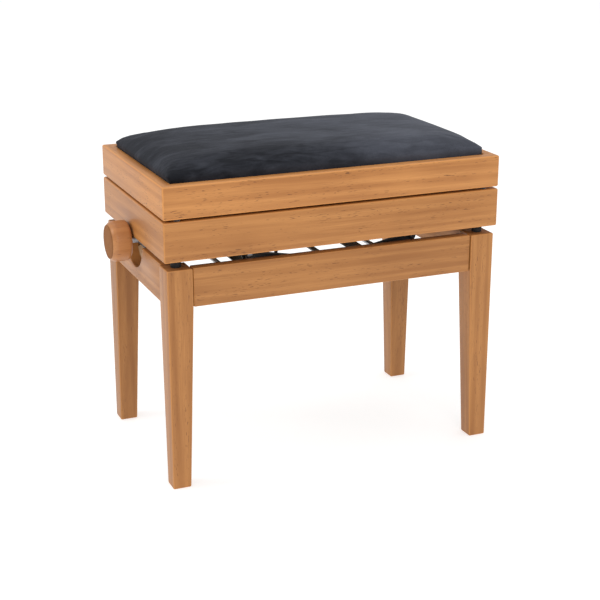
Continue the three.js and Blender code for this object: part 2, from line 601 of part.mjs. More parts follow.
const lidLinkHoles = [[...STAY_E, STAY_HOLE], [...STAY_B, STAY_HOLE]];
const lidLinkShape = linkShape(STAY_E, STAY_B, STAY_WIDTH, lidLinkHoles);
place('stay_link_lid', plateYZ(lidLinkShape, STAY_THICKNESS, LID_LINK_X), 'brightSteel');

const boxPlateX = -WALL_INNER_X + STEEL / 2;
const bossEndX = BOX_LINK_X - STAY_THICKNESS / 2 - GAP;
place('stay_bracket_box', join(
  block(STEEL, STAY_PLATE, STAY_PLATE, boxPlateX, STAY_A[0], STAY_A[1]),
  rodX(STAY_WIDTH / 2, bossEndX + WALL_INNER_X, (bossEndX - WALL_INNER_X) / 2, ...STAY_A),
  stayPin(STAY_A, boxPlateX, LINK_FACE_X),
), 'brightSteel');

const lidPlateX = LID_LEDGE_X + STEEL / 2;
const lidPlateBottom = LID_BOTTOM + GAP;
place('stay_bracket_lid', join(
  block(STEEL, STAY_PLATE, STAY_PLATE, lidPlateX, STAY_B[0], lidPlateBottom + STAY_PLATE / 2),
  stayPin(STAY_B, lidPlateX, LID_LINK_X + STAY_THICKNESS / 2),
), 'brightSteel');

export default group;
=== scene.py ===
"""Looks of a height-adjustable piano bench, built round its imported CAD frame.

Every size is in metres: +X along the bench, +Y to the back, +Z up, origin on the floor.
"""

import json
import logging
import math
from dataclasses import dataclass, field
from enum import Enum
from typing import Callable, Iterable, Sequence, Union

import bmesh
import bpy
from mathutils import Matrix, Vector, noise

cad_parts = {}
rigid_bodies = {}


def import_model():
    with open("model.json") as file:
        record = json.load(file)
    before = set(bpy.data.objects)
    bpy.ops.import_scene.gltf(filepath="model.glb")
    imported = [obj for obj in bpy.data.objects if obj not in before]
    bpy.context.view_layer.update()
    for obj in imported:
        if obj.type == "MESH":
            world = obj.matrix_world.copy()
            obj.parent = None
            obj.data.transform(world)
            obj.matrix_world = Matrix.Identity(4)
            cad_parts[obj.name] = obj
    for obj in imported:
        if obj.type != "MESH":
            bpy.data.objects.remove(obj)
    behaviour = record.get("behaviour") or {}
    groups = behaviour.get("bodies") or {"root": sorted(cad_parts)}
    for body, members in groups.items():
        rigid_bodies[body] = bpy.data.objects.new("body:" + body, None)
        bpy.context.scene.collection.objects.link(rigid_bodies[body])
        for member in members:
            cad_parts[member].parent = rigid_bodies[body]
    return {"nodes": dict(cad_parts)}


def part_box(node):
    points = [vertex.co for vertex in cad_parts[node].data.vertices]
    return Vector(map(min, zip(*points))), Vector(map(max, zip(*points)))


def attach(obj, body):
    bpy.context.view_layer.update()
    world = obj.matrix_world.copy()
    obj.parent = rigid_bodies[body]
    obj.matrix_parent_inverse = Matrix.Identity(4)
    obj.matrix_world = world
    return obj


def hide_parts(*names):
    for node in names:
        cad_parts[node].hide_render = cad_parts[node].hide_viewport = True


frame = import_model()

LOG = logging.getLogger("piano_bench")
MM = 0.001
SHEET_STEEL = 2.5 * MM
SPINDLE_RADIUS = 6 * MM
# How much of a normal lies along an axis when a face looks that way, and when it looks across it.
FACING = 0.9
ACROSS = 0.1

Colour = tuple[float, float, float]
Test = Callable[[Vector, Vector], bool]
Value = Union[float, Sequence[float], bpy.types.NodeSocket]


class Part(Enum):
    """What a selection picks from a mesh."""

    VERTEX = "VERT"
    EDGE = "EDGE"
    FACE = "FACE"


class Axis(Enum):
    """A direction of the frame, as the index of its coordinate."""

    X = 0
    Y = 1
    Z = 2

    def spread(self, along: float, across: float) -> tuple[float, float, float]:
        """Gives one number to this axis and another to the other two."""
        return tuple(along if i == self.value else across for i in range(3))

    def unit(self) -> Vector:
        """Returns the unit vector along this axis."""
        return Vector(self.spread(1.0, 0.0))


# ---------------------------------------------------------------- shaping by hand


class Piece:
    """One mesh, started from a primitive and shaped in edit mode and with modifiers."""

    def __init__(self, obj: bpy.types.Object, name: str) -> None:
        """Takes hold of an object and names it.

        Args:
            obj: The object to shape.
            name: The piece's name.
        """
        self.obj = obj
        obj.name = name
        obj.data.name = name

    @staticmethod
    def deselect() -> None:
        """Leaves nothing selected."""
        if bpy.context.object is not None and bpy.context.object.mode != "OBJECT":
            bpy.ops.object.mode_set(mode="OBJECT")
        for obj in bpy.context.view_layer.objects:
            obj.select_set(False)

    def _activate(self) -> None:
        """Makes this the one selected and active object."""
        self.deselect()
        self.obj.select_set(True)
        bpy.context.view_layer.objects.active = self.obj

    @classmethod
    def block(cls, name: str, low: Sequence[float], high: Sequence[float]) -> "Piece":
        """Adds a block between two corners.

        Args:
            name: The piece's name.
            low: The lowest corner.
            high: The highest corner.

        Returns:
            The new piece, with its place in its mesh.
        """
        cls.deselect()
        centre = [(a + b) / 2 for a, b in zip(low, high)]
        size = [b - a for a, b in zip(low, high)]
        bpy.ops.mesh.primitive_cube_add(size=1, location=centre, scale=size)
        piece = cls(bpy.context.object, name)
        bpy.ops.object.transform_apply(location=True, rotation=True, scale=True)
        return piece

    @classmethod
    def rod(cls, name: str, axis: Axis, start: Sequence[float], length: float,
            radius: float, sides: int = 32) -> "Piece":
        """Adds a round rod.

        Args:
            name: The piece's name.
            axis: The direction that it runs in.
            start: The middle of its first end.
            length: Its length, negative to run against the axis.
            radius: Its radius.
            sides: How many sides its section has.

        Returns:
            The new piece, with its place in its mesh.
        """
        cls.deselect()
        turn = {Axis.X: (0, math.pi / 2, 0), Axis.Y: (math.pi / 2, 0, 0), Axis.Z: (0, 0, 0)}
        centre = Vector(start) + axis.unit() * length / 2
        bpy.ops.mesh.primitive_cylinder_add(
            vertices=sides, radius=radius, depth=abs(length), location=centre, rotation=turn[axis])
        piece = cls(bpy.context.object, name)
        bpy.ops.object.transform_apply(location=True, rotation=True, scale=True)
        return piece

    @classmethod
    def from_node(cls, name: str, node: str) -> "Piece":
        """Copies a CAD node's mesh, merged and with its flat faces whole.

        Args:
            name: The piece's name.
            node: The CAD node to copy.

        Returns:
            The new piece, which is free of the node.
        """
        cls.deselect()
        obj = bpy.data.objects.new(name, frame["nodes"][node].data.copy())
        bpy.context.scene.collection.objects.link(obj)
        obj.data.materials.clear()
        piece = cls(obj, name)
        piece.pick(Part.VERTEX, lambda middle, way: True)
        bpy.ops.mesh.remove_doubles(threshold=0.01 * MM)
        if obj.data.has_custom_normals:
            bpy.ops.mesh.customdata_custom_splitnormals_clear()
        bpy.ops.mesh.dissolve_limited(angle_limit=math.radians(0.5))
        return piece.rest()

    def copy(self, name: str) -> "Piece":
        """Copies the piece with a mesh of its own.

        Args:
            name: The copy's name.

        Returns:
            The copy.
        """
        obj = bpy.data.objects.new(name, self.obj.data.copy())
        bpy.context.scene.collection.objects.link(obj)
        return Piece(obj, name)

    def rest(self) -> "Piece":
        """Returns to object mode."""
        if self.obj.mode != "OBJECT":
            bpy.ops.object.mode_set(mode="OBJECT")
        return self

    def pick(self, part: Part, test: Test) -> "Piece":
        """Opens edit mode with only the chosen parts selected.

        Args:
            part: Whether to choose vertices, edges or faces.
            test: Says yes to a part's middle and its normal, or its direction for an edge.

        Returns:
            This piece.
        """
        self._activate()
        bpy.ops.object.mode_set(mode="EDIT")
        bpy.ops.mesh.select_mode(type=part.value)
        bpy.ops.mesh.select_all(action="DESELECT")
        mesh = bmesh.from_edit_mesh(self.obj.data)
        if part is Part.VERTEX:
            found = [(v, v.co, v.normal) for v in mesh.verts]
        elif part is Part.EDGE:
            found = [(e, (e.verts[0].co + e.verts[1].co) / 2,
                      (e.verts[1].co - e.verts[0].co).normalized()) for e in mesh.edges]
        else:
            found = [(f, f.calc_center_median(), f.normal) for f in mesh.faces]
        for item, middle, way in found:
            if test(middle, way):
                item.select_set(True)
        mesh.select_flush_mode()
        bmesh.update_edit_mesh(self.obj.data)
        return self

    def inset(self, width: float) -> "Piece":
        """Insets the selected faces by a width, staying in edit mode."""
        bpy.ops.mesh.inset(thickness=width, use_even_offset=True)
        return self

    def extrude(self, shift: Sequence[float]) -> "Piece":
        """Extrudes the selected faces by a shift, staying in edit mode."""
        bpy.ops.mesh.extrude_region_move(TRANSFORM_OT_translate={"value": tuple(shift)})
        return self

    def swell(self, distance: float) -> "Piece":
        """Extrudes the selected faces along their normals, staying in edit mode."""
        bpy.ops.mesh.extrude_region_shrink_fatten(
            TRANSFORM_OT_shrink_fatten={"value": distance, "use_even_offset": True})
        return self

    def shift(self, distance: Sequence[float]) -> "Piece":
        """Moves the selected parts, staying in edit mode."""
        bpy.ops.transform.translate(value=tuple(distance))
        return self

    def bridge(self) -> "Piece":
        """Joins the two selected faces through the piece, as a hole."""
        bpy.ops.mesh.bridge_edge_loops()
        return self.rest()

    def split(self, point: Sequence[float], way: Sequence[float], drop: bool = False) -> "Piece":
        """Cuts the mesh at a plane.

        Args:
            point: A point on the plane.
            way: The plane's normal.
            drop: Whether what lies beyond the plane goes, and the cut is closed.

        Returns:
            This piece, in object mode.
        """
        self.pick(Part.FACE, lambda middle, normal: True)
        bpy.ops.mesh.bisect(plane_co=tuple(point), plane_no=tuple(way), use_fill=drop, clear_outer=drop)
        return self.rest()

    def ease(self, width: float, segments: int, test: Test) -> "Piece":
        """Rounds the chosen edges over.

        Args:
            width: The radius of the round.
            segments: How many facets it has.
            test: Says yes to an edge's middle and direction.

        Returns:
            This piece, in object mode.
        """
        self.pick(Part.EDGE, test)
        bpy.ops.mesh.bevel(offset=width, segments=segments, profile=0.5, affect="EDGES")
        return self.rest()

    def modify(self, kind: str, **settings: object) -> "Piece":
        """Adds a modifier with its settings and applies it.

        Args:
            kind: Blender's name for the modifier.
            **settings: The modifier's settings.

        Returns:
            This piece, in object mode.
        """
        self.rest()
        self._activate()
        modifier = self.obj.modifiers.new(kind.lower(), kind)
        for key, value in settings.items():
            setattr(modifier, key, value)
        bpy.ops.object.modifier_apply(modifier=modifier.name)
        return self

    def soften(self, width: float, segments: int = 2, angle: float = 35.0) -> "Piece":
        """Rounds every edge that is sharper than an angle in degrees."""
        return self.modify("BEVEL", width=width, segments=segments, limit_method="ANGLE",
                           angle_limit=math.radians(angle), use_clamp_overlap=True)

    def carve(self, cutter: "Piece") -> "Piece":
        """Cuts another piece out of this one and removes it."""
        self.modify("BOOLEAN", operation="DIFFERENCE", solver="EXACT", object=cutter.obj)
        bpy.data.objects.remove(cutter.obj)
        return self

    def turn(self, angle: float, axis: Axis, centre: Sequence[float]) -> "Piece":
        """Turns the whole mesh.

        Args:
            angle: The angle in radians, by the right-hand rule.
            axis: The axis to turn about.
            centre: A point on that axis.

        Returns:
            This piece.
        """
        there = Matrix.Translation(Vector(centre))
        self.obj.data.transform(there @ Matrix.Rotation(angle, 4, axis.name) @ there.inverted())
        return self

    def join(self, others: Iterable["Piece"]) -> "Piece":
        """Joins other pieces into this one."""
        others = list(others)
        self.rest()
        self._activate()
        for other in others:
            other.obj.select_set(True)
        if others:
            bpy.ops.object.join()
        return self

    def smooth(self, angle: float = 35.0) -> "Piece":
        """Shades faces smooth across edges blunter than an angle in degrees."""
        self.rest()
        self._activate()
        bpy.ops.object.shade_smooth_by_angle(angle=math.radians(angle))
        return self

    def dress(self, finish: bpy.types.Material, slot: str = "") -> "Piece":
        """Gives the piece its finish.

        Args:
            finish: The material.
            slot: The record's material slot, or empty where it has none; not used.

        Returns:
            This piece.
        """
        self.obj.data.materials.clear()
        self.obj.data.materials.append(finish)
        return self

    def mount(self, body: str, *nodes: str) -> "Piece":
        """Lets the piece move with a body and stand for CAD nodes, and reports it.

        Args:
            body: The CAD body that it moves with.
            *nodes: The CAD nodes that it stands for.

        Returns:
            This piece.
        """
        self.rest()
        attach(self.obj, body)
        if nodes:
            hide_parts(*nodes)
        LOG.info("%s rides on %s, %d faces", self.obj.name, body, len(self.obj.data.polygons))
        return self


# ---------------------------------------------------------------- finishes


class Recipe:
    """A material's nodes, added by short calls."""

    def __init__(self, name: str) -> None:
        """Starts a material that holds a shader and its output.

        Args:
            name: The material's name.
        """
        self.material = bpy.data.materials.new(name)
        self.material.use_nodes = True
        self.tree = self.material.node_tree
        self.shader = self.tree.nodes["Principled BSDF"]
        self.coordinates = self.tree.nodes.new("ShaderNodeTexCoord")

    def put(self, node: bpy.types.Node, inputs: dict[Union[str, int], Value]) -> bpy.types.Node:
        """Sets or links a node's inputs.

        Args:
            node: The node.
            inputs: Each input's name or place, with its value or the socket that feeds it.

        Returns:
            The node.
        """
        for key, value in inputs.items():
            if isinstance(value, bpy.types.NodeSocket):
                self.tree.links.new(value, node.inputs[key])
            else:
                node.inputs[key].default_value = value
        return node

    def add(self, kind: str, inputs: dict[Union[str, int], Value], **settings: object) -> bpy.types.Node:
        """Adds a node.

        Args:
            kind: The node's type, without its ShaderNode prefix.
            inputs: Its inputs, as put() takes them.
            **settings: Its other settings.

        Returns:
            The node.
        """
        node = self.tree.nodes.new("ShaderNode" + kind)
        for key, value in settings.items():
            setattr(node, key, value)
        return self.put(node, inputs)

    def place(self, scale: Sequence[float], offset: Sequence[float] = (0, 0, 0)) -> bpy.types.NodeSocket:
        """Returns the object coordinates, moved and then scaled per axis."""
        moved = self.add("VectorMath", {0: self.coordinates.outputs["Object"], 1: tuple(offset)})
        scaled = self.add("Mapping", {"Vector": moved.outputs[0], "Scale": tuple(scale)})
        return scaled.outputs[0]

    def noise(self, where: bpy.types.NodeSocket, detail: float = 2.0, roughness: float = 0.5,
              distortion: float = 0.0) -> bpy.types.NodeSocket:
        """Returns a noise value at a place that is already scaled."""
        made = self.add("TexNoise", {"Vector": where, "Scale": 1.0, "Detail": detail,
                                     "Roughness": roughness, "Distortion": distortion})
        return made.outputs["Fac"]

    def fit(self, value: bpy.types.NodeSocket, low: float, high: float, start: float = 0.0,
            end: float = 1.0) -> bpy.types.NodeSocket:
        """Maps a value from low..high to start..end, held at both ends."""
        made = self.add("MapRange", {"Value": value, "From Min": low, "From Max": high,
                                     "To Min": start, "To Max": end}, clamp=True)
        return made.outputs["Result"]

    def sum(self, kind: str, first: Value, second: Value) -> bpy.types.NodeSocket:
        """Returns two values put together by a Math node's operation."""
        return self.add("Math", {0: first, 1: second}, operation=kind).outputs[0]

    def mix(self, share: Value, first: Value, second: Value) -> bpy.types.NodeSocket:
        """Returns two colours mixed by a share."""
        made = self.add("Mix", {0: share, 6: first, 7: second}, data_type="RGBA", blend_type="MIX")
        return made.outputs[2]

    def edge(self, low: float, high: float) -> bpy.types.NodeSocket:
        """Returns 1 on rounded edges, where the surface faces along no axis, and 0 on flats."""
        size = self.add("VectorMath", {0: self.coordinates.outputs["Normal"]}, operation="ABSOLUTE")
        sides = self.add("SeparateXYZ", {0: size.outputs[0]})
        most = self.sum("MAXIMUM", sides.outputs[0], sides.outputs[1])
        return self.fit(self.sum("MAXIMUM", most, sides.outputs[2]), low, high)

    def finish(self, colour: Value, roughness: Value, height: bpy.types.NodeSocket, relief: float,
               **constants: float) -> bpy.types.Material:
        """Feeds the shader and returns the material.

        Args:
            colour: The base colour.
            roughness: The roughness.
            height: The value that stands the surface up.
            relief: The height in metres of a value of one.
            **constants: The shader's other inputs, with spaces written as underscores.

        Returns:
            The material.
        """
        bump = self.add("Bump", {"Strength": 1.0, "Distance": relief, "Height": height})
        self.put(self.shader, {"Base Color": colour, "Roughness": roughness,
                               "Normal": bump.outputs[0]})
        self.put(self.shader, {key.replace("_", " "): value for key, value in constants.items()})
        return self.material


def opaque(colour: Colour, share: float = 1.0) -> tuple[float, float, float, float]:
    """Returns a colour with full alpha, made darker or lighter by a share."""
    return (colour[0] * share, colour[1] * share, colour[2] * share, 1.0)


@dataclass(frozen=True)
class WoodFinish:
    """Lacquered or bare wood with streaks, fibres and short dark pores along the grain."""

    name: str
    pale: Colour
    deep: Colour
    pore: Colour
    gloss: float = 0.46
    coat: float = 0.10
    # How much lighter rounded edges are painted: partly wear, partly a painted highlight.
    edge_wear_and_highlight: float = 0.5
    end_shade: float = 0.35

    def material(self, piece: str, grain: Axis, seed: int, tone: float = 1.0) -> bpy.types.Material:
        """Makes the finish of one board, cut from its own place in the tree.

        Args:
            piece: The board's name.
            grain: The direction that its grain runs in.
            seed: Picks the place in the tree.
            tone: How light the board is painted: painted shade that darkens boards lying in shadow, 1
                for the lightest.

        Returns:
            The material.
        """
        make = Recipe(f"{self.name}_{piece}")
        offset = [0.37 * seed, 0.61 * seed + 0.2, 0.43 * seed]
        warp = make.noise(make.place(grain.spread(3.2, 11.0), offset), 1.0)
        streak = make.noise(make.place(grain.spread(2.6, 72.0), offset), 3.0, 0.55, 0.35)
        fibre = make.noise(make.place(grain.spread(22.0, 900.0), offset), 2.0, 0.6)
        cloud = make.noise(make.place(grain.spread(7.0, 14.0), offset), 2.0)
        rings = make.add("TexWave", {"Vector": make.place(grain.spread(0.6, 34.0), offset),
                                     "Scale": 1.0, "Distortion": 5.5, "Detail": 2.0,
                                     "Detail Scale": 1.2}, wave_type="BANDS",
                         bands_direction="DIAGONAL")
        figure = make.sum("ADD", make.sum("MULTIPLY", streak, 0.62),
                          make.sum("MULTIPLY", rings.outputs["Fac"], 0.14))
        figure = make.sum("ADD", figure, make.sum("MULTIPLY", warp, 0.22))
        # Every colour is scaled by tone, which paints shade onto boards that sit in shadow.
        base = make.mix(make.fit(figure, 0.37, 0.61), opaque(self.pale, tone), opaque(self.deep, tone))
        base = make.mix(make.fit(fibre, 0.35, 0.7, 0.0, 0.48), base, opaque(self.deep, 0.86 * tone))
        base = make.mix(make.fit(cloud, 0.42, 0.68, 0.0, 0.35), base, opaque(self.pale, 1.06 * tone))
        dashes = make.noise(make.place(grain.spread(105.0, 820.0), offset), 1.0, 0.4)
        crowd = make.fit(make.noise(make.place(grain.spread(9.0, 60.0), offset), 1.0), 0.42, 0.6)
        pores = make.sum("MULTIPLY", make.fit(dashes, 0.65, 0.71), crowd)
        base = make.mix(make.sum("MULTIPLY", pores, 0.72), base, opaque(self.pore))
        facing = make.add("SeparateXYZ", {0: make.coordinates.outputs["Normal"]}).outputs[grain.value]
        end = make.fit(make.sum("ABSOLUTE", facing, 0.0), 0.80, 0.97, 0.0, self.end_shade)
        base = make.mix(end, base, opaque(self.deep, 0.45))
        # Rounded edges are painted lighter: partly wear, partly a painted highlight along them.
        wear_and_highlight_mask = make.edge(0.985, 0.86)
        base = make.mix(make.sum("MULTIPLY", wear_and_highlight_mask, self.edge_wear_and_highlight), base, opaque(self.pale, 1.3 * tone))
        dull = make.fit(cloud, 0.3, 0.7, self.gloss - 0.04, self.gloss + 0.07)
        dull = make.sum("ADD", dull, end)
        height = make.sum("SUBTRACT", make.sum("MULTIPLY", fibre, 0.35), pores)
        return make.finish(base, dull, height, 0.00006, Coat_Weight=self.coat,
                           Coat_Roughness=0.22, IOR=1.38)


@dataclass(frozen=True)
class PlywoodFinish:
    """Sanded plywood: a pale face veneer, and layers that show on the edges."""

    face: Colour = (0.60, 0.43, 0.25)
    glue: Colour = (0.27, 0.16, 0.08)
    ply: float = 1.25 * MM

    def material(self, piece: str, base_z: float) -> bpy.types.Material:
        """Makes the finish of one panel.

        Args:
            piece: The panel's name.
            base_z: The height of its lower face.

        Returns:
            The material.
        """
        make = Recipe(f"plywood_{piece}")
        figure = make.noise(make.place((3.0, 46.0, 46.0)), 3.0, 0.6, 0.6)
        fibre = make.noise(make.place((30.0, 1100.0, 1100.0)), 2.0)
        face = make.mix(make.fit(figure, 0.35, 0.68), opaque(self.face), opaque(self.face, 0.72))
        face = make.mix(make.fit(fibre, 0.4, 0.7, 0.0, 0.3), face, opaque(self.glue))
        layer = make.add("SeparateXYZ", {0: make.place((1.0, 1.0, 1 / self.ply), (0, 0, -base_z))})
        line = make.sum("PINGPONG", layer.outputs[2], 1.0)
        edge = make.mix(line, opaque(self.face, 0.8), opaque(self.glue))
        normal = make.add("SeparateXYZ", {0: make.coordinates.outputs["Normal"]})
        upright = make.fit(make.sum("ABSOLUTE", normal.outputs[2], 0.0), 0.4, 0.6)
        base = make.mix(upright, edge, face)
        return make.finish(base, make.fit(figure, 0.3, 0.7, 0.55, 0.7), fibre, 0.00004)


@dataclass(frozen=True)
class VelvetFinish:
    """Short-pile velvet: very dark, with a soft sheen, brushed patches and a painted sheen that grows
    lighter towards +X.
    """

    pile: Colour = (0.011, 0.012, 0.016)
    # The brushed colour is reached both in brushed patches and by the painted sheen along +X.
    brushed: Colour = (0.104, 0.112, 0.141)
    sheen: Colour = (0.70, 0.74, 0.86)
    broad_share: float = 0.62
    stroke_share: float = 0.38
    # Painted sheen: how much lighter the velvet is painted per metre along +X.
    painted_sheen_per_metre: float = 0.62
    darkest: float = 0.33
    palest: float = 0.80
    sheen_weight: float = 0.11

    def material(self, piece: str) -> bpy.types.Material:
        """Makes the velvet of one piece.

        Args:
            piece: The piece's name.

        Returns:
            The material.
        """
        make = Recipe(f"velvet_{piece}")
        broad = make.noise(make.place((8.0, 15.0, 8.0), (0.31, 0.2, 0)), 3.0, 0.55, 0.4)
        strokes = make.noise(make.place((22.0, 90.0, 40.0), (0.1, 0.4, 0)), 4.0, 0.65, 0.8)
        tufts = make.noise(make.place((1500.0, 1500.0, 1500.0)), 2.0, 0.6)
        brushed = make.sum("ADD", make.sum("MULTIPLY", broad, self.broad_share),
                           make.sum("MULTIPLY", strokes, self.stroke_share))
        # Painted sheen: the velvet is painted lighter along +X, in place of the sheen of the light.
        run = make.add("SeparateXYZ", {0: make.place((1.0, 1.0, 1.0))}).outputs[0]
        lit = make.sum("ADD", brushed, make.sum("MULTIPLY", run, self.painted_sheen_per_metre))
        share = make.fit(lit, self.darkest, self.palest)
        base = make.mix(share, opaque(self.pile), opaque(self.brushed))
        base = make.mix(make.fit(tufts, 0.3, 0.75, 0.0, 0.55), base, opaque(self.pile, 0.5))
        height = make.sum("ADD", make.sum("MULTIPLY", tufts, 0.25), make.sum("MULTIPLY", strokes, 0.8))
        material = make.finish(base, make.fit(share, 0.0, 1.0, 0.95, 0.78), height, 0.0006,
                               Sheen_Weight=self.sheen_weight, Sheen_Roughness=0.42,
                               Specular_IOR_Level=0.15)
        make.put(make.shader, {"Sheen Tint": opaque(self.sheen)})
        return material


@dataclass(frozen=True)
class MetalFinish:
    """Plated, brassed or powder-coated steel, with fine scratches along one axis."""

    name: str
    colour: Colour
    metallic: float
    gloss: float
    relief: float
    marks: float = 0.25

    def material(self, piece: str, along: Axis = Axis.X) -> bpy.types.Material:
        """Makes the finish of one piece.

        Args:
            piece: The piece's name.
            along: The direction of the scratches.

        Returns:
            The material.
        """
        make = Recipe(f"{self.name}_{piece}")
        peel = make.noise(make.place((700.0, 700.0, 700.0)), 2.0)
        scratch = make.noise(make.place(along.spread(45.0, 2600.0)), 2.0, 0.6)
        stain = make.noise(make.place((38.0, 38.0, 38.0), (0.3, 0.1, 0.2)), 3.0, 0.65)
        base = make.mix(make.fit(stain, 0.45, 0.75, 0.0, self.marks), opaque(self.colour),
                        opaque(self.colour, 0.45))
        base = make.mix(make.fit(scratch, 0.55, 0.8, 0.0, self.marks), base, opaque(self.colour, 1.5))
        base = make.mix(make.sum("MULTIPLY", make.edge(0.98, 0.8), 0.3), base, opaque(self.colour, 1.8))
        rough = make.fit(make.sum("ADD", scratch, stain), 0.7, 1.3, self.gloss - 0.08, self.gloss + 0.12)
        return make.finish(base, rough, make.sum("ADD", peel, scratch), self.relief,
                           Metallic=self.metallic)


@dataclass(frozen=True)
class DullFinish:
    """Felt or rubber: dark and matt, with a fine tooth."""

    name: str
    colour: Colour
    tooth: float
    sheen: float = 0.0

    def material(self, piece: str) -> bpy.types.Material:
        """Makes the finish of one piece."""
        make = Recipe(f"{self.name}_{piece}")
        tooth = make.noise(make.place((1800.0, 1800.0, 1800.0)), 3.0, 0.7)
        cloud = make.noise(make.place((90.0, 90.0, 90.0)), 2.0)
        base = make.mix(make.fit(tooth, 0.3, 0.75), opaque(self.colour, 0.6), opaque(self.colour, 1.5))
        return make.finish(base, make.fit(cloud, 0.3, 0.7, 0.6, 0.85), tooth, self.tooth,
                           Sheen_Weight=self.sheen)


SATIN_WOOD = WoodFinish("satin_wood", (0.610, 0.268, 0.079), (0.420, 0.163, 0.041),
                        (0.13, 0.045, 0.014))
RAW_WOOD = WoodFinish("raw_wood", (0.68, 0.45, 0.26), (0.52, 0.32, 0.16), (0.3, 0.17, 0.08),
                      0.62, 0.0, 0.1)
TURNED_WOOD = WoodFinish("turned_wood", (0.52, 0.230, 0.082), (0.40, 0.160, 0.056),
                         (0.18, 0.065, 0.022), 0.30, 0.0, 0.0, 0.66)
PLYWOOD = PlywoodFinish()
VELVET = VelvetFinish()
BLACK_STEEL = MetalFinish("black_steel", (0.018, 0.018, 0.020), 0.0, 0.42, 0.00003)
BRIGHT_STEEL = MetalFinish("bright_steel", (0.36, 0.365, 0.38), 1.0, 0.34, 0.00001)
BRASS = MetalFinish("brass", (0.72, 0.50, 0.20), 1.0, 0.30, 0.00001)
RUBBER = DullFinish("rubber", (0.012, 0.012, 0.014), 0.00005)
FELT = DullFinish("felt", (0.030, 0.030, 0.034), 0.0003, 0.4)


# ---------------------------------------------------------------- places taken from the frame


def corners_of(nodes: Iterable[str]) -> tuple[Vector, Vector]:
    """Returns the lowest and highest corner of several CAD nodes together."""
    boxes = [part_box(node) for node in nodes]
    low = Vector(min(box[0][i] for box in boxes) for i in range(3))
    high = Vector(max(box[1][i] for box in boxes) for i in range(3))
    return low, high


def middle_of(node: str) -> Vector:
    """Returns the middle of a CAD node's box."""
    low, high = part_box(node)
    return (low + high) / 2


def is_near(value: float, target: float, within: float = 0.01 * MM) -> bool:
    """Says whether a value is as good as another."""
    return abs(value - target) < within


SIDES: dict[str, tuple[float, float]] = {
    "front": (0, -1), "back": (0, 1), "left": (-1, 0), "right": (1, 0)}
CORNERS: dict[str, tuple[float, float]] = {
    "front_left": (-1, -1), "front_right": (1, -1), "back_left": (-1, 1), "back_right": (1, 1)}


# ---------------------------------------------------------------- fasteners


@dataclass
class Screw:
    """A pan-head cross-recessed screw; only its head shows."""

    radius: float = 3.6 * MM
    height: float = 1.7 * MM
    recess: float = 0.9 * MM
    sunk: float = 0.2 * MM
    round_share: float = 0.45
    cross: tuple[float, float] = (0.62, 0.14)

    def head(self, name: str) -> Piece:
        """Shapes one head that stands on z = 0 at the origin.

        Args:
            name: The piece's name.

        Returns:
            The head.
        """
        head = Piece.rod(name, Axis.Z, (0, 0, -self.sunk), self.height + self.sunk,
                         self.radius, sides=20)
        top = self.height
        head.ease(self.round_share * self.height, 3,
                  lambda middle, way: is_near(middle.z, top) and abs(way.z) < ACROSS)
        for share_x, share_y in (self.cross, self.cross[::-1]):
            reach = Vector((share_x * self.radius, share_y * self.radius, self.recess))
            slot = Piece.block("slot", Vector((0, 0, top)) - reach, Vector((0, 0, top)) + reach)
            head.carve(slot)
        return head.smooth(40)

    def row(self, name: str, places: Sequence[tuple[Vector, Vector]]) -> Piece:
        """Puts a head at each place and joins them.

        Args:
            name: The row's name.
            places: For each head its seat and the way it faces.

        Returns:
            The joined heads.
        """
        first = self.head(name)
        heads = []
        for seat, way in places:
            turned = first.copy(name + "_head")
            turn = Vector((0, 0, 1)).rotation_difference(way).to_matrix().to_4x4()
            turned.obj.data.transform(Matrix.Translation(seat) @ turn)
            heads.append(turned)
        bpy.data.objects.remove(first.obj)
        made = heads[0].join(heads[1:])
        return Piece(made.obj, name)


def rivet(name: str, axis: Axis, seat: Sequence[float], height: float, radius: float,
          round_share: float = 0.8) -> Piece:
    """Shapes a domed rivet head.

    Args:
        name: The head's name.
        axis: The direction that it stands in.
        seat: The middle of its foot.
        height: Its height, negative to stand against the axis.
        radius: Its radius.
        round_share: The share of its height that is rounded.

    Returns:
        The head.
    """
    head = Piece.rod(name, axis, seat, height, radius, sides=28)
    top = Vector(seat)[axis.value] + height
    head.ease(round_share * abs(height), 4, lambda middle, way: is_near(middle[axis.value], top)
              and abs(way[axis.value]) < ACROSS)
    return head.smooth(50)


# ---------------------------------------------------------------- leg frame


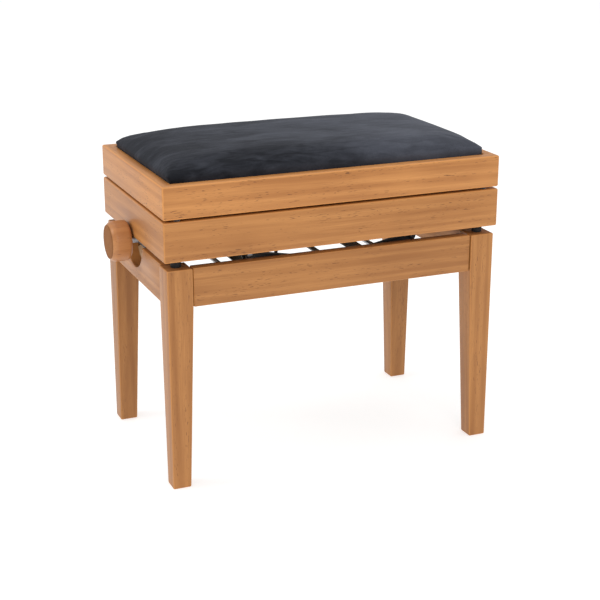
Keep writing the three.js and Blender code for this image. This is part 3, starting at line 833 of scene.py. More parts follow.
@dataclass
class LegFrame:
    """Four tapered legs, four aprons and the glued and screwed corner blocks."""

    leg_round: float = 2.2 * MM
    apron_round: float = 1.6 * MM
    scoop_radius: float = 44 * MM
    joint_gap: float = 1.2 * MM
    cutter_reach: float = 5 * MM
    block_round: float = 0.8 * MM
    block_screws: tuple[float, float] = (9 * MM, 21 * MM)
    buffer_rim: float = 3 * MM
    buffer_dish: float = 1.5 * MM
    buffer_round: float = 1.2 * MM
    apron_bottom: float = 290 * MM
    foot_width: float = 29 * MM
    # Painted shade: the front legs and the aprons, under the box, are painted darker, and the back legs
    # darker still.
    frame_shade_tone: float = 0.80
    back_leg_shade_tone: float = 0.70
    screw: Screw = field(default_factory=Screw)

    def leg(self, corner: str, sx: float, sy: float, seed: int) -> None:
        """Shapes one leg: square above, tapered on its two inner faces below the aprons."""
        node = f"leg_{corner}"
        low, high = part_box(node)
        taper = (high.x - low.x) - self.foot_width
        leg = Piece.block(f"{node}_tapered", low, high)
        leg.split((0, 0, self.apron_bottom), (0, 0, 1))
        inner_x, inner_y = (high.x if sx < 0 else low.x), (high.y if sy < 0 else low.y)
        leg.pick(Part.VERTEX, lambda at, way: is_near(at.z, low.z) and is_near(at.x, inner_x))
        leg.shift((sx * taper, 0, 0))
        leg.pick(Part.VERTEX, lambda at, way: is_near(at.z, low.z) and is_near(at.y, inner_y))
        leg.shift((0, sy * taper, 0))
        leg.rest().soften(self.leg_round, 4, 50).smooth()
        # Painted shade: the back legs are painted darker than the front ones.
        tone = self.frame_shade_tone if sy < 0 else self.back_leg_shade_tone
        leg.dress(SATIN_WOOD.material(node, Axis.Z, seed, tone), "satin_wood").mount("leg_frame", node)

    def apron(self, side: str, seed: int) -> None:
        """Shapes one apron; the side ones are scooped out round the spindle."""
        node = f"apron_{side}"
        low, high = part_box(node)
        grain = Axis.Y if side in ("left", "right") else Axis.X
        gap = Vector(grain.spread(self.joint_gap, 0))
        apron = Piece.block(f"{node}_board", low + gap, high - gap)
        if grain is Axis.Y:
            spindle = middle_of("spindle")
            start = (low.x - self.cutter_reach, spindle.y, spindle.z)
            length = high.x - low.x + 2 * self.cutter_reach
            apron.carve(Piece.rod("scoop", Axis.X, start, length, self.scoop_radius, sides=96))
        apron.soften(self.apron_round, 4, 50).smooth()
        # The aprons are painted darker with the frame's painted shade.
        apron.dress(SATIN_WOOD.material(node, grain, seed, self.frame_shade_tone), "satin_wood")
        apron.mount("leg_frame", node)

    def corner_block(self, corner: str, sx: float, sy: float, seed: int) -> None:
        """Shapes one corner block and its two screws."""
        node = f"corner_block_{corner}"
        low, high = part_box(node)
        block = Piece.from_node(f"{node}_glued", node).soften(self.block_round).smooth()
        block.dress(RAW_WOOD.material(node, Axis.Z, seed), "raw_wood").mount("leg_frame", node)
        inner = Vector(((low.x if sx > 0 else high.x), (high.y if sy > 0 else low.y), 0))
        other = Vector(((high.x if sx > 0 else low.x), (low.y if sy > 0 else high.y), 0))
        way = Vector((-sx, -sy, 0)).normalized()
        seat = (inner + other) / 2
        places = [(Vector((seat.x, seat.y, low.z + rise)), way) for rise in self.block_screws]
        heads = self.screw.row(f"{node}_screws", places)
        heads.dress(BRIGHT_STEEL.material(heads.obj.name), "bright_steel").mount("leg_frame")

    def buffer(self, corner: str) -> None:
        """Shapes the rubber buffer on a leg's end, which the box comes down on."""
        node = f"leg_buffer_{corner}"
        low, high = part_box(node)
        seat = ((low.x + high.x) / 2, (low.y + high.y) / 2, low.z)
        buffer = Piece.rod(f"{node}_rubber", Axis.Z, seat, high.z - low.z, (high.x - low.x) / 2,
                           sides=40)
        buffer.pick(Part.FACE, lambda middle, way: way.z > FACING).inset(self.buffer_rim)
        buffer.extrude((0, 0, -self.buffer_dish)).rest()
        buffer.soften(self.buffer_round, 3).smooth()
        buffer.dress(RUBBER.material(node), "rubber").mount("leg_frame", node)

    def build(self) -> None:
        """Builds the whole frame."""
        for seed, (corner, (sx, sy)) in enumerate(CORNERS.items()):
            self.leg(corner, sx, sy, seed + 1)
            self.corner_block(corner, sx, sy, seed + 20)
            self.buffer(corner)
        for seed, side in enumerate(SIDES):
            self.apron(side, seed + 7)


# ---------------------------------------------------------------- mitred frames


@dataclass
class MitredFrame:
    """Four boards joined at mitred corners, shaped as one ring and then parted."""

    prefix: str
    body: str
    wall: float
    outer_round: float
    seam: float = 0.06 * MM
    # Painted shade: how light the boards are painted, lower for a ring that sits in shadow.
    tone: float = 1.0

    def ring(self) -> Piece:
        """Shapes the whole ring: its section is the subclass's affair."""
        raise NotImplementedError

    def part(self, ring: Piece, side: str, seed: int) -> Piece:
        """Cuts one board out of the ring at its two mitres.

        Args:
            ring: The whole ring, which is kept.
            side: The board's side.
            seed: Picks the board's place in the tree.

        Returns:
            The board.
        """
        node = f"{self.prefix}_{side}"
        low, high = self.corners()
        out_x, out_y = SIDES[side]
        board = ring.copy(f"{node}_board")
        for sign in (-1, 1):
            along = Vector((sign, 0, 0)) if out_x == 0 else Vector((0, sign, 0))
            outward = Vector((out_x, out_y, 0))
            reach = outward + along
            corner = Vector((high.x if reach.x > 0 else low.x, high.y if reach.y > 0 else low.y, 0))
            way = (along - outward).normalized()
            board.split(corner - way * self.seam, way, drop=True)
        board.smooth()
        grain = Axis.X if out_x == 0 else Axis.Y
        board.dress(SATIN_WOOD.material(node, grain, seed, self.tone), "satin_wood")
        return board.mount(self.body, node)

    def corners(self) -> tuple[Vector, Vector]:
        """Returns the lowest and highest corner of the ring."""
        return corners_of(f"{self.prefix}_{side}" for side in SIDES)

    def ease_outside(self, ring: Piece) -> None:
        """Rounds the ring's outer corners and its outer upper and lower edges over."""
        low, high = self.corners()

        def outside(middle: Vector, way: Vector) -> bool:
            on_x = is_near(middle.x, low.x) or is_near(middle.x, high.x)
            on_y = is_near(middle.y, low.y) or is_near(middle.y, high.y)
            rim = is_near(middle.z, low.z) or is_near(middle.z, high.z)
            return (on_x and on_y) if abs(way.z) > FACING else (rim and (on_x or on_y))

        ring.ease(self.outer_round, 5, outside)

    def boards(self, first_seed: int) -> None:
        """Shapes the ring and parts it into its four boards."""
        ring = self.ring()
        for i, side in enumerate(SIDES):
            self.part(ring, side, first_seed + i)
        bpy.data.objects.remove(ring.obj)


@dataclass
class MusicBox(MitredFrame):
    """The open-topped box that holds the sheet music, with its plywood floor in a groove."""

    prefix: str = "box"
    body: str = "music_box"
    wall: float = 18 * MM
    outer_round: float = 2.6 * MM
    # Painted shade: the box, under the lid, is painted darker than the lid.
    tone: float = 0.88
    inner_round: float = 1.0 * MM
    groove: float = 6 * MM
    groove_play: float = 0.3 * MM
    felt_round: float = 0.9 * MM

    def ring(self) -> Piece:
        """Shapes the four walls with the groove for the floor."""
        low, high = self.corners()
        ring = Piece.block("box_ring", low, high)
        ring.pick(Part.FACE, lambda middle, way: abs(way.z) > FACING).inset(self.wall).bridge()
        self.ease_outside(ring)
        ring.ease(self.inner_round, 3, lambda middle, way: is_near(middle.z, high.z)
                  and abs(middle.x) < high.x - self.wall / 2 and abs(middle.y) < high.y - self.wall / 2)
        floor_low, floor_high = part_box("box_floor")
        for level in (floor_low.z - self.groove_play, floor_high.z + self.groove_play):
            ring.split((0, 0, level), (0, 0, 1))
        ring.pick(Part.FACE, lambda middle, way: floor_low.z < middle.z < floor_high.z
                  and middle.x * way.x + middle.y * way.y < 0)
        ring.swell(-self.groove)
        return ring.rest()

    def build(self) -> None:
        """Builds the boards and dresses the floor and the felt bumpers."""
        self.boards(first_seed=30)
        floor = frame["nodes"]["box_floor"]
        floor.material_slots[0].material = PLYWOOD.material("box_floor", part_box("box_floor")[0].z)
        for side in ("left", "right"):
            name = f"bumper_{side}"
            low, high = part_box(name)
            seat = ((low.x + high.x) / 2, (low.y + high.y) / 2, low.z)
            pad = Piece.rod(f"{name}_felt", Axis.Z, seat, high.z - low.z, (high.x - low.x) / 2,
                            sides=36)
            pad.soften(self.felt_round, 3).smooth()
            pad.dress(FELT.material(name), "felt").mount("music_box", name)


@dataclass
class SeatLid(MitredFrame):
    """The hinged lid: mitred rails with a ledge that the upholstered board rests on."""

    prefix: str = "lid_rail"
    body: str = "lid"
    wall: float = 18 * MM
    outer_round: float = 3.0 * MM
    inner_round: float = 1.2 * MM
    ledge: float = 8 * MM
    rebate: float = 22.5 * MM
    margin: float = 1 * MM

    def ring(self) -> Piece:
        """Shapes the four rails with their ledge."""
        low, high = self.corners()
        ring = Piece.block("lid_ring", low, high)
        ring.pick(Part.FACE, lambda middle, way: way.z > FACING).inset(self.wall)
        ring.extrude((0, 0, -self.rebate)).inset(self.ledge).rest()
        ring.pick(Part.FACE, lambda middle, way: way.z < -FACING).inset(self.wall + self.ledge).rest()
        ring.pick(Part.FACE, lambda middle, way: abs(way.z) > FACING
                  and abs(middle.x) + abs(middle.y) < self.margin)
        ring.bridge()
        self.ease_outside(ring)
        inside_x, inside_y = high.x - self.wall, high.y - self.wall
        ring.ease(self.inner_round, 3, lambda middle, way: is_near(middle.z, high.z)
                  and abs(middle.x) < inside_x + self.margin
                  and abs(middle.y) < inside_y + self.margin)
        ring.ease(self.inner_round, 3, lambda middle, way: is_near(middle.z, low.z)
                  and abs(middle.x) < inside_x and abs(middle.y) < inside_y)
        return ring.rest()

    def build(self) -> None:
        """Builds the rails and dresses the seat board."""
        self.boards(first_seed=40)
        board = frame["nodes"]["seat_board"]
        board.material_slots[0].material = PLYWOOD.material("seat_board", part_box("seat_board")[0].z)


# ---------------------------------------------------------------- upholstery


@dataclass
class Cushion:
    """The velvet pad: foam under a cover that is drawn down round the seat board."""

    voxel: float = 5 * MM
    most_swell: float = 3 * MM
    clearance: float = 0.25 * MM
    squareness: float = 5.0
    edge_height: float = 8 * MM
    crown: float = 31 * MM
    overhang_x: float = 8 * MM
    overhang_y: float = 1 * MM
    overhang_rise: float = 7 * MM
    hem_width: float = 22 * MM
    hem_thickness: float = 1.2 * MM
    hem_gap: float = 0.1 * MM
    ledge_gap: float = 1 * MM
    skirt_overlap: float = 2 * MM
    skirt_round: float = 0.3 * MM
    hem_round: float = 0.5 * MM
    cuts: int = 40
    pressure: float = 4.0
    cloth_quality: int = 5
    swell_frames: int = 20
    smooth_factor: float = 0.5
    smooth_rounds: int = 4
    unevenness: float = 0.45 * MM
    waves_per_metre: float = 22
    staple_lean: float = 0.2
    lean_waves_per_metre: float = 90
    staple_pitch: float = 38 * MM
    staple_inset: float = 40 * MM
    staple_size: tuple[float, float] = (5 * MM, 0.6 * MM)
    staple_depth: float = 0.4 * MM
    staple_round: float = 0.35 * MM

    def rise(self, x: float, y: float, half_x: float, half_y: float) -> float:
        """Returns how full the pad is at a place: 1 in the middle and 0 at its rim."""
        u, v = min(1.0, abs(x) / half_x), min(1.0, abs(y) / half_y)
        return math.sqrt(max(0.0, (1 - u ** self.squareness) * (1 - v ** self.squareness)))

    def overhang(self, at: Vector, lid_top: float, half_x: float, half_y: float) -> None:
        """Lets a point of the pad bulge over the rails where it is above them.

        Args:
            at: The point, which is moved.
            lid_top: The height of the rails' upper faces.
            half_x: Half the pad's length between the rails.
            half_y: Half its depth there.
        """
        share = max(0.0, min(1.0, (at.z - lid_top) / self.overhang_rise))
        bulge = math.sin(share * math.pi / 2)
        at.x *= 1 + bulge * self.overhang_x / half_x
        at.y *= 1 + bulge * self.overhang_y / half_y

    def pad(self) -> Piece:
        """Shapes the pad above the board, swollen by cloth simulation where there is time."""
        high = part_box("seat_cover")[1]
        board_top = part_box("seat_board")[1].z
        lid_top = corners_of(f"lid_rail_{side}" for side in SIDES)[1].z
        half_x, half_y = high.x - self.clearance, high.y - self.clearance
        base = board_top + self.clearance
        pad = Piece.block("seat_cushion", (-half_x, -half_y, base), (half_x, half_y, lid_top))
        pad.pick(Part.VERTEX, lambda at, way: True)
        bpy.ops.mesh.subdivide(number_cuts=self.cuts)
        pad.rest()
        rim = lid_top + self.edge_height
        for vertex in pad.obj.data.vertices:
            share = (vertex.co.z - base) / (lid_top - base)
            full = rim + (self.crown - self.edge_height) * self.rise(
                vertex.co.x, vertex.co.y, half_x, half_y)
            vertex.co.z = base + share * (full - base)
            self.overhang(vertex.co, lid_top, half_x, half_y)
        pad.modify("REMESH", mode="VOXEL", voxel_size=self.voxel)
        self.swell(pad, base)
        pad.modify("SMOOTH", factor=self.smooth_factor, iterations=self.smooth_rounds)
        pad.modify("SUBSURF", levels=1, render_levels=1)
        for vertex in pad.obj.data.vertices:
            if vertex.co.z < lid_top + self.clearance:
                vertex.co.x = max(-half_x, min(half_x, vertex.co.x))
                vertex.co.y = max(-half_y, min(half_y, vertex.co.y))
            vertex.co.z = max(base, vertex.co.z)
        self.ripple(pad, lid_top)
        return pad

    def swell(self, pad: Piece, base: float) -> None:
        """Blows the pad up a little as cloth, with its foot held, and caps what each point moves.

        Args:
            pad: The pad.
            base: The height of its foot.
        """
        start = [vertex.co.copy() for vertex in pad.obj.data.vertices]
        foot = pad.obj.vertex_groups.new(name="foot")
        foot.add([i for i, at in enumerate(start) if at.z < base + self.voxel], 1.0, "REPLACE")
        cloth = pad.obj.modifiers.new("cloth", "CLOTH")
        cloth.settings.use_pressure = True
        cloth.settings.uniform_pressure_force = self.pressure
        cloth.settings.vertex_group_mass = "foot"
        cloth.settings.effector_weights.gravity = 0.0
        cloth.settings.quality = self.cloth_quality
        cloth.point_cache.frame_start = 1
        cloth.point_cache.frame_end = self.swell_frames
        scene = bpy.context.scene
        for step in range(1, self.swell_frames + 1):
            scene.frame_set(step)
        drawn = pad.obj.evaluated_get(bpy.context.evaluated_depsgraph_get())
        swollen = [vertex.co.copy() for vertex in drawn.data.vertices]
        pad.obj.modifiers.remove(cloth)
        pad.obj.vertex_groups.clear()
        scene.frame_set(1)
        for vertex, old, new in zip(pad.obj.data.vertices, start, swollen):
            move = new - old
            if move.length > self.most_swell:
                move *= self.most_swell / move.length
            vertex.co = old + move
        LOG.info("the pad swelled by at most %.1f mm", self.most_swell / MM)

    def ripple(self, pad: Piece, lid_top: float) -> None:
        """Lays a slight unevenness over the stretched cover.

        Args:
            pad: The pad.
            lid_top: The height of the rails' upper faces.
        """
        for vertex in pad.obj.data.vertices:
            if vertex.co.z > lid_top:
                place = Vector((vertex.co.x * self.waves_per_metre,
                                vertex.co.y * self.waves_per_metre, 0.7))
                wave = noise.noise(place)
                vertex.co.z += self.unevenness * wave

    def skirt(self) -> Piece:
        """Shapes the band of cover round the board's edge."""
        low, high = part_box("seat_cover")
        board_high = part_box("seat_board")[1]
        width = high.x - board_high.x - 2 * self.clearance
        reach = Vector((high.x - self.clearance, high.y - self.clearance, 0))
        skirt = Piece.block("cover_skirt", Vector((-reach.x, -reach.y, low.z)),
                            Vector((reach.x, reach.y, board_high.z + self.skirt_overlap)))
        skirt.pick(Part.FACE, lambda middle, way: abs(way.z) > FACING).inset(width).bridge()
        return skirt.soften(self.skirt_round)

    def hem(self) -> Piece:
        """Shapes the turned-under margin of the cover, stapled below the board."""
        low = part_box("seat_board")[0]
        inset = corners_of(["lid_rail_front"])
        ledge = inset[1].y - inset[0].y + self.ledge_gap
        outer = corners_of(f"lid_rail_{side}" for side in SIDES)[1]
        reach = Vector((outer.x - ledge, outer.y - ledge, 0))
        top = low.z - self.hem_gap
        hem = Piece.block("cover_hem", Vector((-reach.x, -reach.y, top - self.hem_thickness)),
                          Vector((reach.x, reach.y, top)))
        hem.pick(Part.FACE, lambda middle, way: abs(way.z) > FACING).inset(self.hem_width).bridge()
        return hem.soften(self.hem_round)

    def staples(self) -> Piece:
        """Shapes one wire staple and sets copies of it along the hem."""
        board_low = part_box("seat_board")[0]
        outer = corners_of(f"lid_rail_{side}" for side in SIDES)[1]
        z = board_low.z - self.hem_gap - self.hem_thickness
        half_x, half_y = outer.x - self.staple_inset, outer.y - self.staple_inset
        half_length, half_width = self.staple_size
        crown = Piece.block("staple", (-half_length, -half_width, z - half_width),
                            (half_length, half_width, z + self.staple_depth))
        crown.soften(self.staple_round)
        copies = []
        for half, along_x in ((half_x, True), (half_y, False)):
            count = int(2 * half / self.staple_pitch)
            for i in range(count + 1):
                run = -half + i * 2 * half / count
                lean = self.staple_lean * noise.noise(
                    Vector((run * self.lean_waves_per_metre, half, 0.3)))
                for sign in (-1, 1):
                    copy = crown.copy("staple_copy")
                    copy.turn((0 if along_x else math.pi / 2) + lean, Axis.Z, (0, 0, 0))
                    at = Vector((run, sign * half_y, 0)) if along_x else Vector((sign * half_x, run, 0))
                    copy.obj.data.transform(Matrix.Translation(at))
                    copies.append(copy)
        bpy.data.objects.remove(crown.obj)
        row = copies[0].join(copies[1:])
        return Piece(row.obj, "cover_staples")

    def build(self) -> None:
        """Builds the pad with its skirt and hem, and the staples that hold it."""
        pad = self.pad().join([self.skirt(), self.hem()]).smooth(60)
        pad.dress(VELVET.material("seat_cushion"), "velvet").mount("lid", "seat_cover", "seat_foam")
        staples = self.staples().smooth()
        staples.dress(BRIGHT_STEEL.material("cover_staples"), "bright_steel").mount("lid")


# ---------------------------------------------------------------- spindle and knobs


@dataclass
class SpindleDrive:
    """The cross spindle with its lifting thread, and the turned knobs on its ends."""

    shoulder: float = 9 * MM
    heel: float = 6.5 * MM
    dome: float = 2.0 * MM
    bore_gap: float = 0.3 * MM
    bore_depth: float = 20 * MM
    lead: float = 6.14 * MM
    thread_from: float = -168 * MM
    thread_to: float = -72 * MM
    thread_depth: float = 0.9 * MM
    dome_shares: tuple[float, ...] = (0.45, 0.32, 0.18, 0.05)
    dome_step: float = 0.23
    rim_share: float = 0.99
    thread_half_width: float = 1.1 * MM
    thread_half_start: float = 0.01 * MM
    thread_crest: float = 0.35
    steps_per_turn: int = 28
    thread_root: float = 1.2 * MM
    rod_edge: float = 0.6 * MM

    def knob(self, side: str, seed: int) -> None:
        """Shapes one knob from a turned blank."""
        node = f"knob_{side}"
        low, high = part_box(node)
        centre = middle_of(node)
        out = 1.0 if centre.x > 0 else -1.0
        inner, outer = (low.x, high.x) if out > 0 else (high.x, low.x)
        radius = (high.z - low.z) / 2
        knob = Piece.rod(f"{node}_turned", Axis.X, (inner, centre.y, centre.z),
                         outer - out * self.dome - inner, radius, sides=96)
        face = outer - out * self.dome
        knob.pick(Part.FACE, lambda middle, way: way.x * out > FACING)
        for share in self.dome_shares:
            knob.inset((radius - self.shoulder) * self.dome_step).shift((out * self.dome * share, 0, 0))
        knob.rest()
        bore_radius = SPINDLE_RADIUS + self.bore_gap
        knob.pick(Part.FACE, lambda middle, way: way.x * out < -FACING and is_near(middle.x, inner))
        knob.inset(radius - bore_radius).extrude((out * self.bore_depth, 0, 0)).rest()
        knob.ease(self.shoulder, 10, lambda middle, way: is_near(middle.x, face)
                  and self.on_rim(middle, centre, radius) and abs(way.x) < ACROSS)
        knob.ease(self.heel, 8, lambda middle, way: is_near(middle.x, inner)
                  and self.on_rim(middle, centre, radius) and abs(way.x) < ACROSS)
        knob.smooth(50)
        knob.dress(TURNED_WOOD.material(node, Axis.X, seed), "turned_wood")
        knob.mount("spindle_and_knobs", node)

    def on_rim(self, middle: Vector, centre: Vector, radius: float) -> bool:
        """Says whether a point lies out at the knob's full radius."""
        return math.hypot(middle.y - centre.y, middle.z - centre.z) > self.rim_share * radius

    def thread(self, start_angle: float) -> Piece:
        """Shapes one of the two starts of the lifting thread as a helical ridge.

        Args:
            start_angle: Where round the spindle it starts, in radians.

        Returns:
            The ridge, closed at both ends.
        """
        centre = middle_of("spindle")
        radius, half = SPINDLE_RADIUS, self.thread_half_width
        ridge = Piece.block("ridge", (-half, radius - self.thread_root, -self.thread_half_start),
                            (half, radius, self.thread_half_start))
        ridge.pick(Part.FACE, lambda middle, way: way.z < 0.5)
        bpy.ops.mesh.delete(type="FACE")
        ridge.rest().pick(Part.VERTEX, lambda at, way: at.y > radius - self.thread_root / 2)
        ridge.shift((0, self.thread_depth, 0)).rest()
        for vertex in ridge.obj.data.vertices:
            vertex.co.z = 0
            if vertex.co.y > radius:
                vertex.co.x *= self.thread_crest
        turns = (self.thread_to - self.thread_from) / self.lead
        steps = int(self.steps_per_turn * turns)
        ridge.modify("SCREW", axis="X", angle=2 * math.pi * turns, screw_offset=self.lead * turns,
                     steps=steps, render_steps=steps, use_normal_calculate=True)
        ridge.turn(start_angle, Axis.X, (0, 0, 0))
        ridge.obj.data.transform(Matrix.Translation((self.thread_from, centre.y, centre.z)))
        ridge.pick(Part.FACE, lambda middle, way: True)
        bpy.ops.mesh.remove_doubles(threshold=0.001 * MM)
        bpy.ops.mesh.fill_holes(sides=8)
        bpy.ops.mesh.normals_make_consistent(inside=False)
        return ridge.rest()

    def spindle(self) -> None:
        """Shapes the spindle: the turned rod with its collars, and the thread on it."""
        rod = Piece.from_node("spindle_rod", "spindle").soften(self.rod_edge, 2, 40)
        rod.join([self.thread(0.0), self.thread(math.pi)]).smooth(40)
        rod = Piece(rod.obj, "spindle_threaded")
        rod.dress(BRIGHT_STEEL.material("spindle", Axis.X), "bright_steel")
        rod.mount("spindle_and_knobs", "spindle")

    def build(self) -> None:
        """Builds the spindle and both knobs."""
        self.spindle()
        self.knob("left", seed=51)
        self.knob("right", seed=52)


# ---------------------------------------------------------------- steelwork


@dataclass
class Steelwork:
    """Everything of steel or brass whose CAD shape is right and only wants its edges eased."""

    screw: Screw = field(default_factory=Screw)
    flat_screw: Screw = field(default_factory=lambda: Screw(3.0 * MM, 0.35 * MM, 0.5 * MM))
    edge: float = 0.45 * MM
    leaf_edge: float = 0.2 * MM
    pin_edge: float = 0.3 * MM
    washer_radius: float = 7.5 * MM
    washer_thickness: float = 0.8 * MM
    clip_radius: float = 6.4 * MM
    clip_thickness: float = 0.9 * MM
    clip_lift: float = 1.0 * MM
    washer_edge: float = 0.2 * MM
    clip_edge: float = 0.15 * MM
    mouth: tuple[float, float, float] = (1.8 * MM, 4 * MM, 8 * MM)
    arm_play: float = 0.4 * MM
    ear_play: float = 2.9 * MM
    rail_screws: tuple[float, ...] = (-205 * MM, -20 * MM, 60 * MM, 205 * MM)
    bearing_screw_inset: float = 8 * MM
    end_screw_inset: float = 12 * MM
    low_screw_rise: float = 14 * MM
    high_screw_drop: float = 9 * MM
    leaf_thickness: float = 1.2 * MM
    leaf_screw_pitch: float = 16 * MM
    leaf_screw_inset: float = 6 * MM
    stay_half_width: float = 5.5 * MM
    stay_pin_drop: float = 12 * MM
    stay_pin_gap: float = 0.1 * MM
    stay_head: tuple[float, float] = (1.4 * MM, 3.8 * MM)

    def eased(self, node: str, body: str, finish: MetalFinish, along: Axis = Axis.X,
              edge: float = 0.0) -> Piece:
        """Dresses one CAD node in a copy with eased edges.

        Args:
            node: The CAD node.
            body: Its body.
            finish: Its metal.
            along: The direction of its scratches.
            edge: The width of the eased edge, or 0 for the usual one.

        Returns:
            The piece.
        """
        piece = Piece.from_node(f"{node}_steel", node).soften(edge or self.edge, 2, 40).smooth(30)
        return piece.dress(finish.material(node, along), finish.name).mount(body, node)

    def clip(self, name: str, body: str, x: float, y: float, z: float, inward: float) -> None:
        """Shapes a washer and a spring clip on a shaft.

        Args:
            name: The clip's name.
            body: The body that it moves with.
            x: The shaft's place along the bench.
            y: The outer face of the washer.
            z: The shaft's height.
            inward: The sign of the direction to the middle of the bench.
        """
        washer = Piece.rod(name, Axis.Y, (x, y, z), inward * self.washer_thickness,
                           self.washer_radius, sides=36)
        washer.soften(self.washer_edge)
        clip = Piece.rod("clip", Axis.Y, (x, y + inward * self.clip_lift, z),
                         inward * self.clip_thickness, self.clip_radius, sides=36)
        half, reach, drop = self.mouth
        mouth = Piece.block("mouth", (x - half, y - reach, z - drop), (x + half, y + reach, z))
        clip.carve(mouth).soften(self.clip_edge)
        washer.join([clip]).smooth(30)
        piece = Piece(washer.obj, name)
        piece.dress(BRIGHT_STEEL.material(name, Axis.Z), "bright_steel").mount(body)

    def lift(self) -> None:
        """Dresses the scissor lift."""
        for side, sign in (("front", -1), ("back", 1)):
            self.eased(f"lower_rail_{side}", "leg_frame", BLACK_STEEL)
            self.eased(f"upper_rail_{side}", "music_box", BLACK_STEEL)
            self.eased(f"outer_arm_{side}", "outer_arms", BLACK_STEEL)
            self.eased(f"inner_arm_{side}", "inner_arms", BLACK_STEEL)
            low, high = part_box(f"inner_arm_{side}")
            face = low.y if sign > 0 else high.y
            inward = -float(sign)
            lower_face = face + inward * self.arm_play
            rail_low, rail_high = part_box(f"upper_rail_{side}")
            upper_face = (rail_high.y if sign > 0 else rail_low.y) - sign * self.ear_play
            for node, body, level in (("lower_pivot_shaft", "leg_frame", lower_face),
                                      ("centre_shaft", "outer_arms", lower_face),
                                      ("lower_slide_shaft", "inner_arms", lower_face),
                                      ("nut_bar", "nut", upper_face),
                                      ("upper_pivot_bar", "music_box", upper_face)):
                at = middle_of(node)
                self.clip(f"{node}_clip_{side}", body, at.x, level, at.z, inward)
        for node, body in (("outer_arm_brace", "outer_arms"), ("inner_arm_brace", "inner_arms"),
                           ("centre_shaft", "outer_arms"), ("upper_pivot_bar", "music_box"),
                           ("spindle_bearing_left", "music_box"),
                           ("spindle_bearing_right", "music_box")):
            self.eased(node, body, BLACK_STEEL, Axis.Y)
        for node, body in (("lower_pivot_shaft", "leg_frame"), ("lower_slide_shaft", "inner_arms"),
                           ("nut_bar", "nut")):
            self.eased(node, body, BRIGHT_STEEL, Axis.Y)

    def lift_screws(self) -> None:
        """Sets the screws that hold the rails and bearings."""
        places: list[tuple[Vector, Vector]] = []
        for side in ("front", "back"):
            low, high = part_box(f"upper_rail_{side}")
            y = (low.y + high.y) / 2
            for x in self.rail_screws:
                places.append((Vector((x, y, high.z - SHEET_STEEL)), Vector((0, 0, -1))))
        for side in ("left", "right"):
            low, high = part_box(f"spindle_bearing_{side}")
            x = (low.x + high.x) / 2
            for y in (low.y + self.bearing_screw_inset, high.y - self.bearing_screw_inset):
                places.append((Vector((x, y, high.z - SHEET_STEEL)), Vector((0, 0, -1))))
        upper = self.screw.row("upper_rail_screws", places)
        upper.dress(BRIGHT_STEEL.material("upper_rail_screws"), "bright_steel").mount("music_box")
        places = []
        for side, sign in (("front", -1), ("back", 1)):
            low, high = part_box(f"lower_rail_{side}")
            face = (high.y if sign > 0 else low.y) - sign * SHEET_STEEL
            for x in (low.x + self.end_screw_inset, high.x - self.end_screw_inset):
                for z in (low.z + self.low_screw_rise, high.z - self.high_screw_drop):
                    places.append((Vector((x, face, z)), Vector((0, -sign, 0))))
        lower = self.screw.row("lower_rail_screws", places)
        lower.dress(BRIGHT_STEEL.material("lower_rail_screws"), "bright_steel").mount("leg_frame")

    def hinges(self) -> None:
        """Dresses the two butt hinges and sets their countersunk screws."""
        above_box = corners_of(["box_back"])[1].z + self.leaf_thickness
        below_lid = corners_of(["lid_rail_back"])[0].z - self.leaf_thickness
        for side in ("left", "right"):
            self.eased(f"hinge_leaf_box_{side}", "music_box", BRASS, Axis.X, self.leaf_edge)
            self.eased(f"hinge_leaf_lid_{side}", "lid", BRASS, Axis.X, self.leaf_edge)
            self.eased(f"hinge_pin_{side}", "music_box", BRASS, Axis.X, self.pin_edge)
            for part, body, way, face in (("box", "music_box", 1.0, above_box),
                                          ("lid", "lid", -1.0, below_lid)):
                low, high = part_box(f"hinge_leaf_{part}_{side}")
                middle, y = (low.x + high.x) / 2, low.y + self.leaf_screw_inset
                places = [(Vector((middle + i * self.leaf_screw_pitch, y, face)), Vector((0, 0, way)))
                          for i in (-1, 0, 1)]
                name = f"hinge_screws_{part}_{side}"
                heads = self.flat_screw.row(name, places)
                heads.dress(BRASS.material(name), "brass").mount(body)

    def stay(self) -> None:
        """Dresses the lid stay and heads its pivots."""
        for node, body in (("stay_link_box", "stay_lower_link"), ("stay_link_lid", "stay_upper_link"),
                           ("stay_bracket_box", "music_box"), ("stay_bracket_lid", "lid")):
            self.eased(node, body, BRIGHT_STEEL, Axis.Z, self.pin_edge)
        low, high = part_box("stay_link_box")
        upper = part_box("stay_link_lid")
        half, gap = self.stay_half_width, self.stay_pin_gap
        bracket_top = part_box("stay_bracket_box")[1].z
        lower_pin = (high.x + gap, high.y - half, bracket_top - self.stay_pin_drop)
        elbow_pin = (high.x + gap, low.y + half, high.z - half)
        lid_pin = (upper[1].x + gap, upper[1].y - half, upper[1].z - half)
        for name, body, at in (("stay_rivet_box", "music_box", lower_pin),
                               ("stay_rivet_elbow", "stay_lower_link", elbow_pin),
                               ("stay_rivet_lid", "lid", lid_pin)):
            head = rivet(name, Axis.X, at, *self.stay_head)
            head.dress(BRIGHT_STEEL.material(name, Axis.Z), "bright_steel").mount(body)

    def build(self) -> None:
        """Builds all the metal."""
        self.lift()
        self.lift_screws()
        self.hinges()
        self.stay()


# ---------------------------------------------------------------- studio


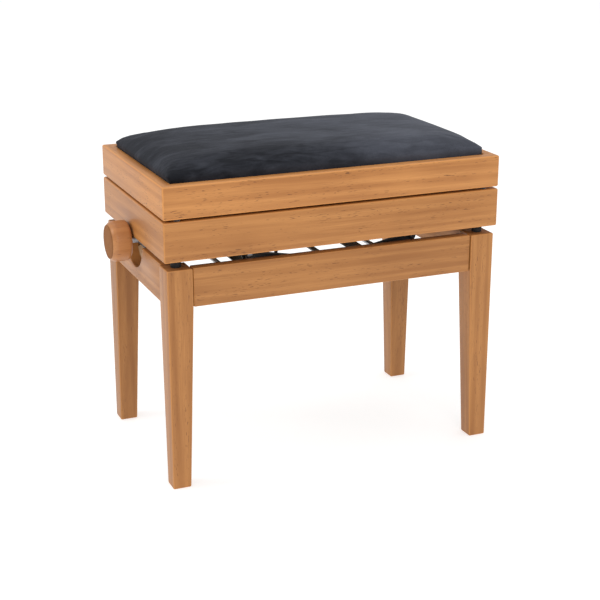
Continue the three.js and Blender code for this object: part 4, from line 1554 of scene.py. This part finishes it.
@dataclass
class Studio:
    """A plain pale floor, soft light and the camera."""

    eye: tuple[float, float, float] = (-0.83337, -1.97977, 0.93391)
    tilt: float = -18.3155
    heading: float = -22.9477
    lens: float = 81.72
    floor_half: float = 40.0
    floor_glow: float = 0.57
    room_glow: float = 0.68
    light_aim: tuple[float, float, float] = (0, 0, 0.35)

    def camera(self) -> None:
        """Sets the camera up."""
        data = bpy.data.cameras.new("camera")
        data.lens = self.lens
        data.sensor_width = 36.0
        data.clip_end = 200.0
        camera = bpy.data.objects.new("camera", data)
        camera.location = self.eye
        camera.rotation_euler = (math.radians(90 + self.tilt), 0, math.radians(self.heading))
        bpy.context.scene.collection.objects.link(camera)
        bpy.context.scene.camera = camera

    def floor(self) -> None:
        """Lays the floor, which is bright enough to keep shadows faint."""
        Piece.deselect()
        bpy.ops.mesh.primitive_plane_add(size=2 * self.floor_half)
        floor = bpy.context.object
        floor.name = "floor"
        make = Recipe("pale_floor")
        tone = make.noise(make.place((0.6, 0.6, 0.6)), 2.0)
        base = make.mix(tone, (0.63, 0.63, 0.63, 1), (0.66, 0.66, 0.66, 1))
        make.put(make.shader, {"Base Color": base, "Roughness": 0.8, "Specular IOR Level": 0.1,
                               "Emission Color": (1, 1, 1, 1), "Emission Strength": self.floor_glow})
        floor.data.materials.append(make.material)

    def light(self, name: str, at: Sequence[float], size: float, power: float) -> None:
        """Hangs a soft square light that faces the bench.

        Args:
            name: The light's name.
            at: Its place.
            size: The length of its side.
            power: Its power in watts.
        """
        data = bpy.data.lights.new(name, "AREA")
        data.size = size
        data.energy = power
        lamp = bpy.data.objects.new(name, data)
        lamp.location = at
        aim = Vector(self.light_aim) - Vector(at)
        lamp.rotation_euler = aim.to_track_quat("-Z", "Y").to_euler()
        bpy.context.scene.collection.objects.link(lamp)

    def world(self) -> None:
        """Fills the room with even white light."""
        world = bpy.data.worlds.new("room")
        world.use_nodes = True
        background = world.node_tree.nodes["Background"]
        background.inputs["Color"].default_value = (1, 1, 1, 1)
        background.inputs["Strength"].default_value = self.room_glow
        bpy.context.scene.world = world
        bpy.context.scene.view_settings.view_transform = "Standard"

    def build(self) -> None:
        """Builds the studio."""
        self.camera()
        self.floor()
        self.world()
        self.light("key_light", (-2.4, 0.6, 2.0), size=1.2, power=19.0)
        self.light("front_light", (-0.4, -3.0, 2.0), size=2.0, power=26.0)
        self.light("top_light", (0.2, 0.4, 2.6), size=2.4, power=12.0)


# ---------------------------------------------------------------- assembly


def main() -> None:
    """Builds the bench piece by piece."""
    logging.basicConfig(level=logging.INFO, format="%(name)s: %(message)s")
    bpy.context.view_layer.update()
    Studio().build()
    LegFrame().build()
    MusicBox().build()
    SeatLid().build()
    Cushion().build()
    SpindleDrive().build()
    Steelwork().build()


if __name__ == "__main__":
    main()
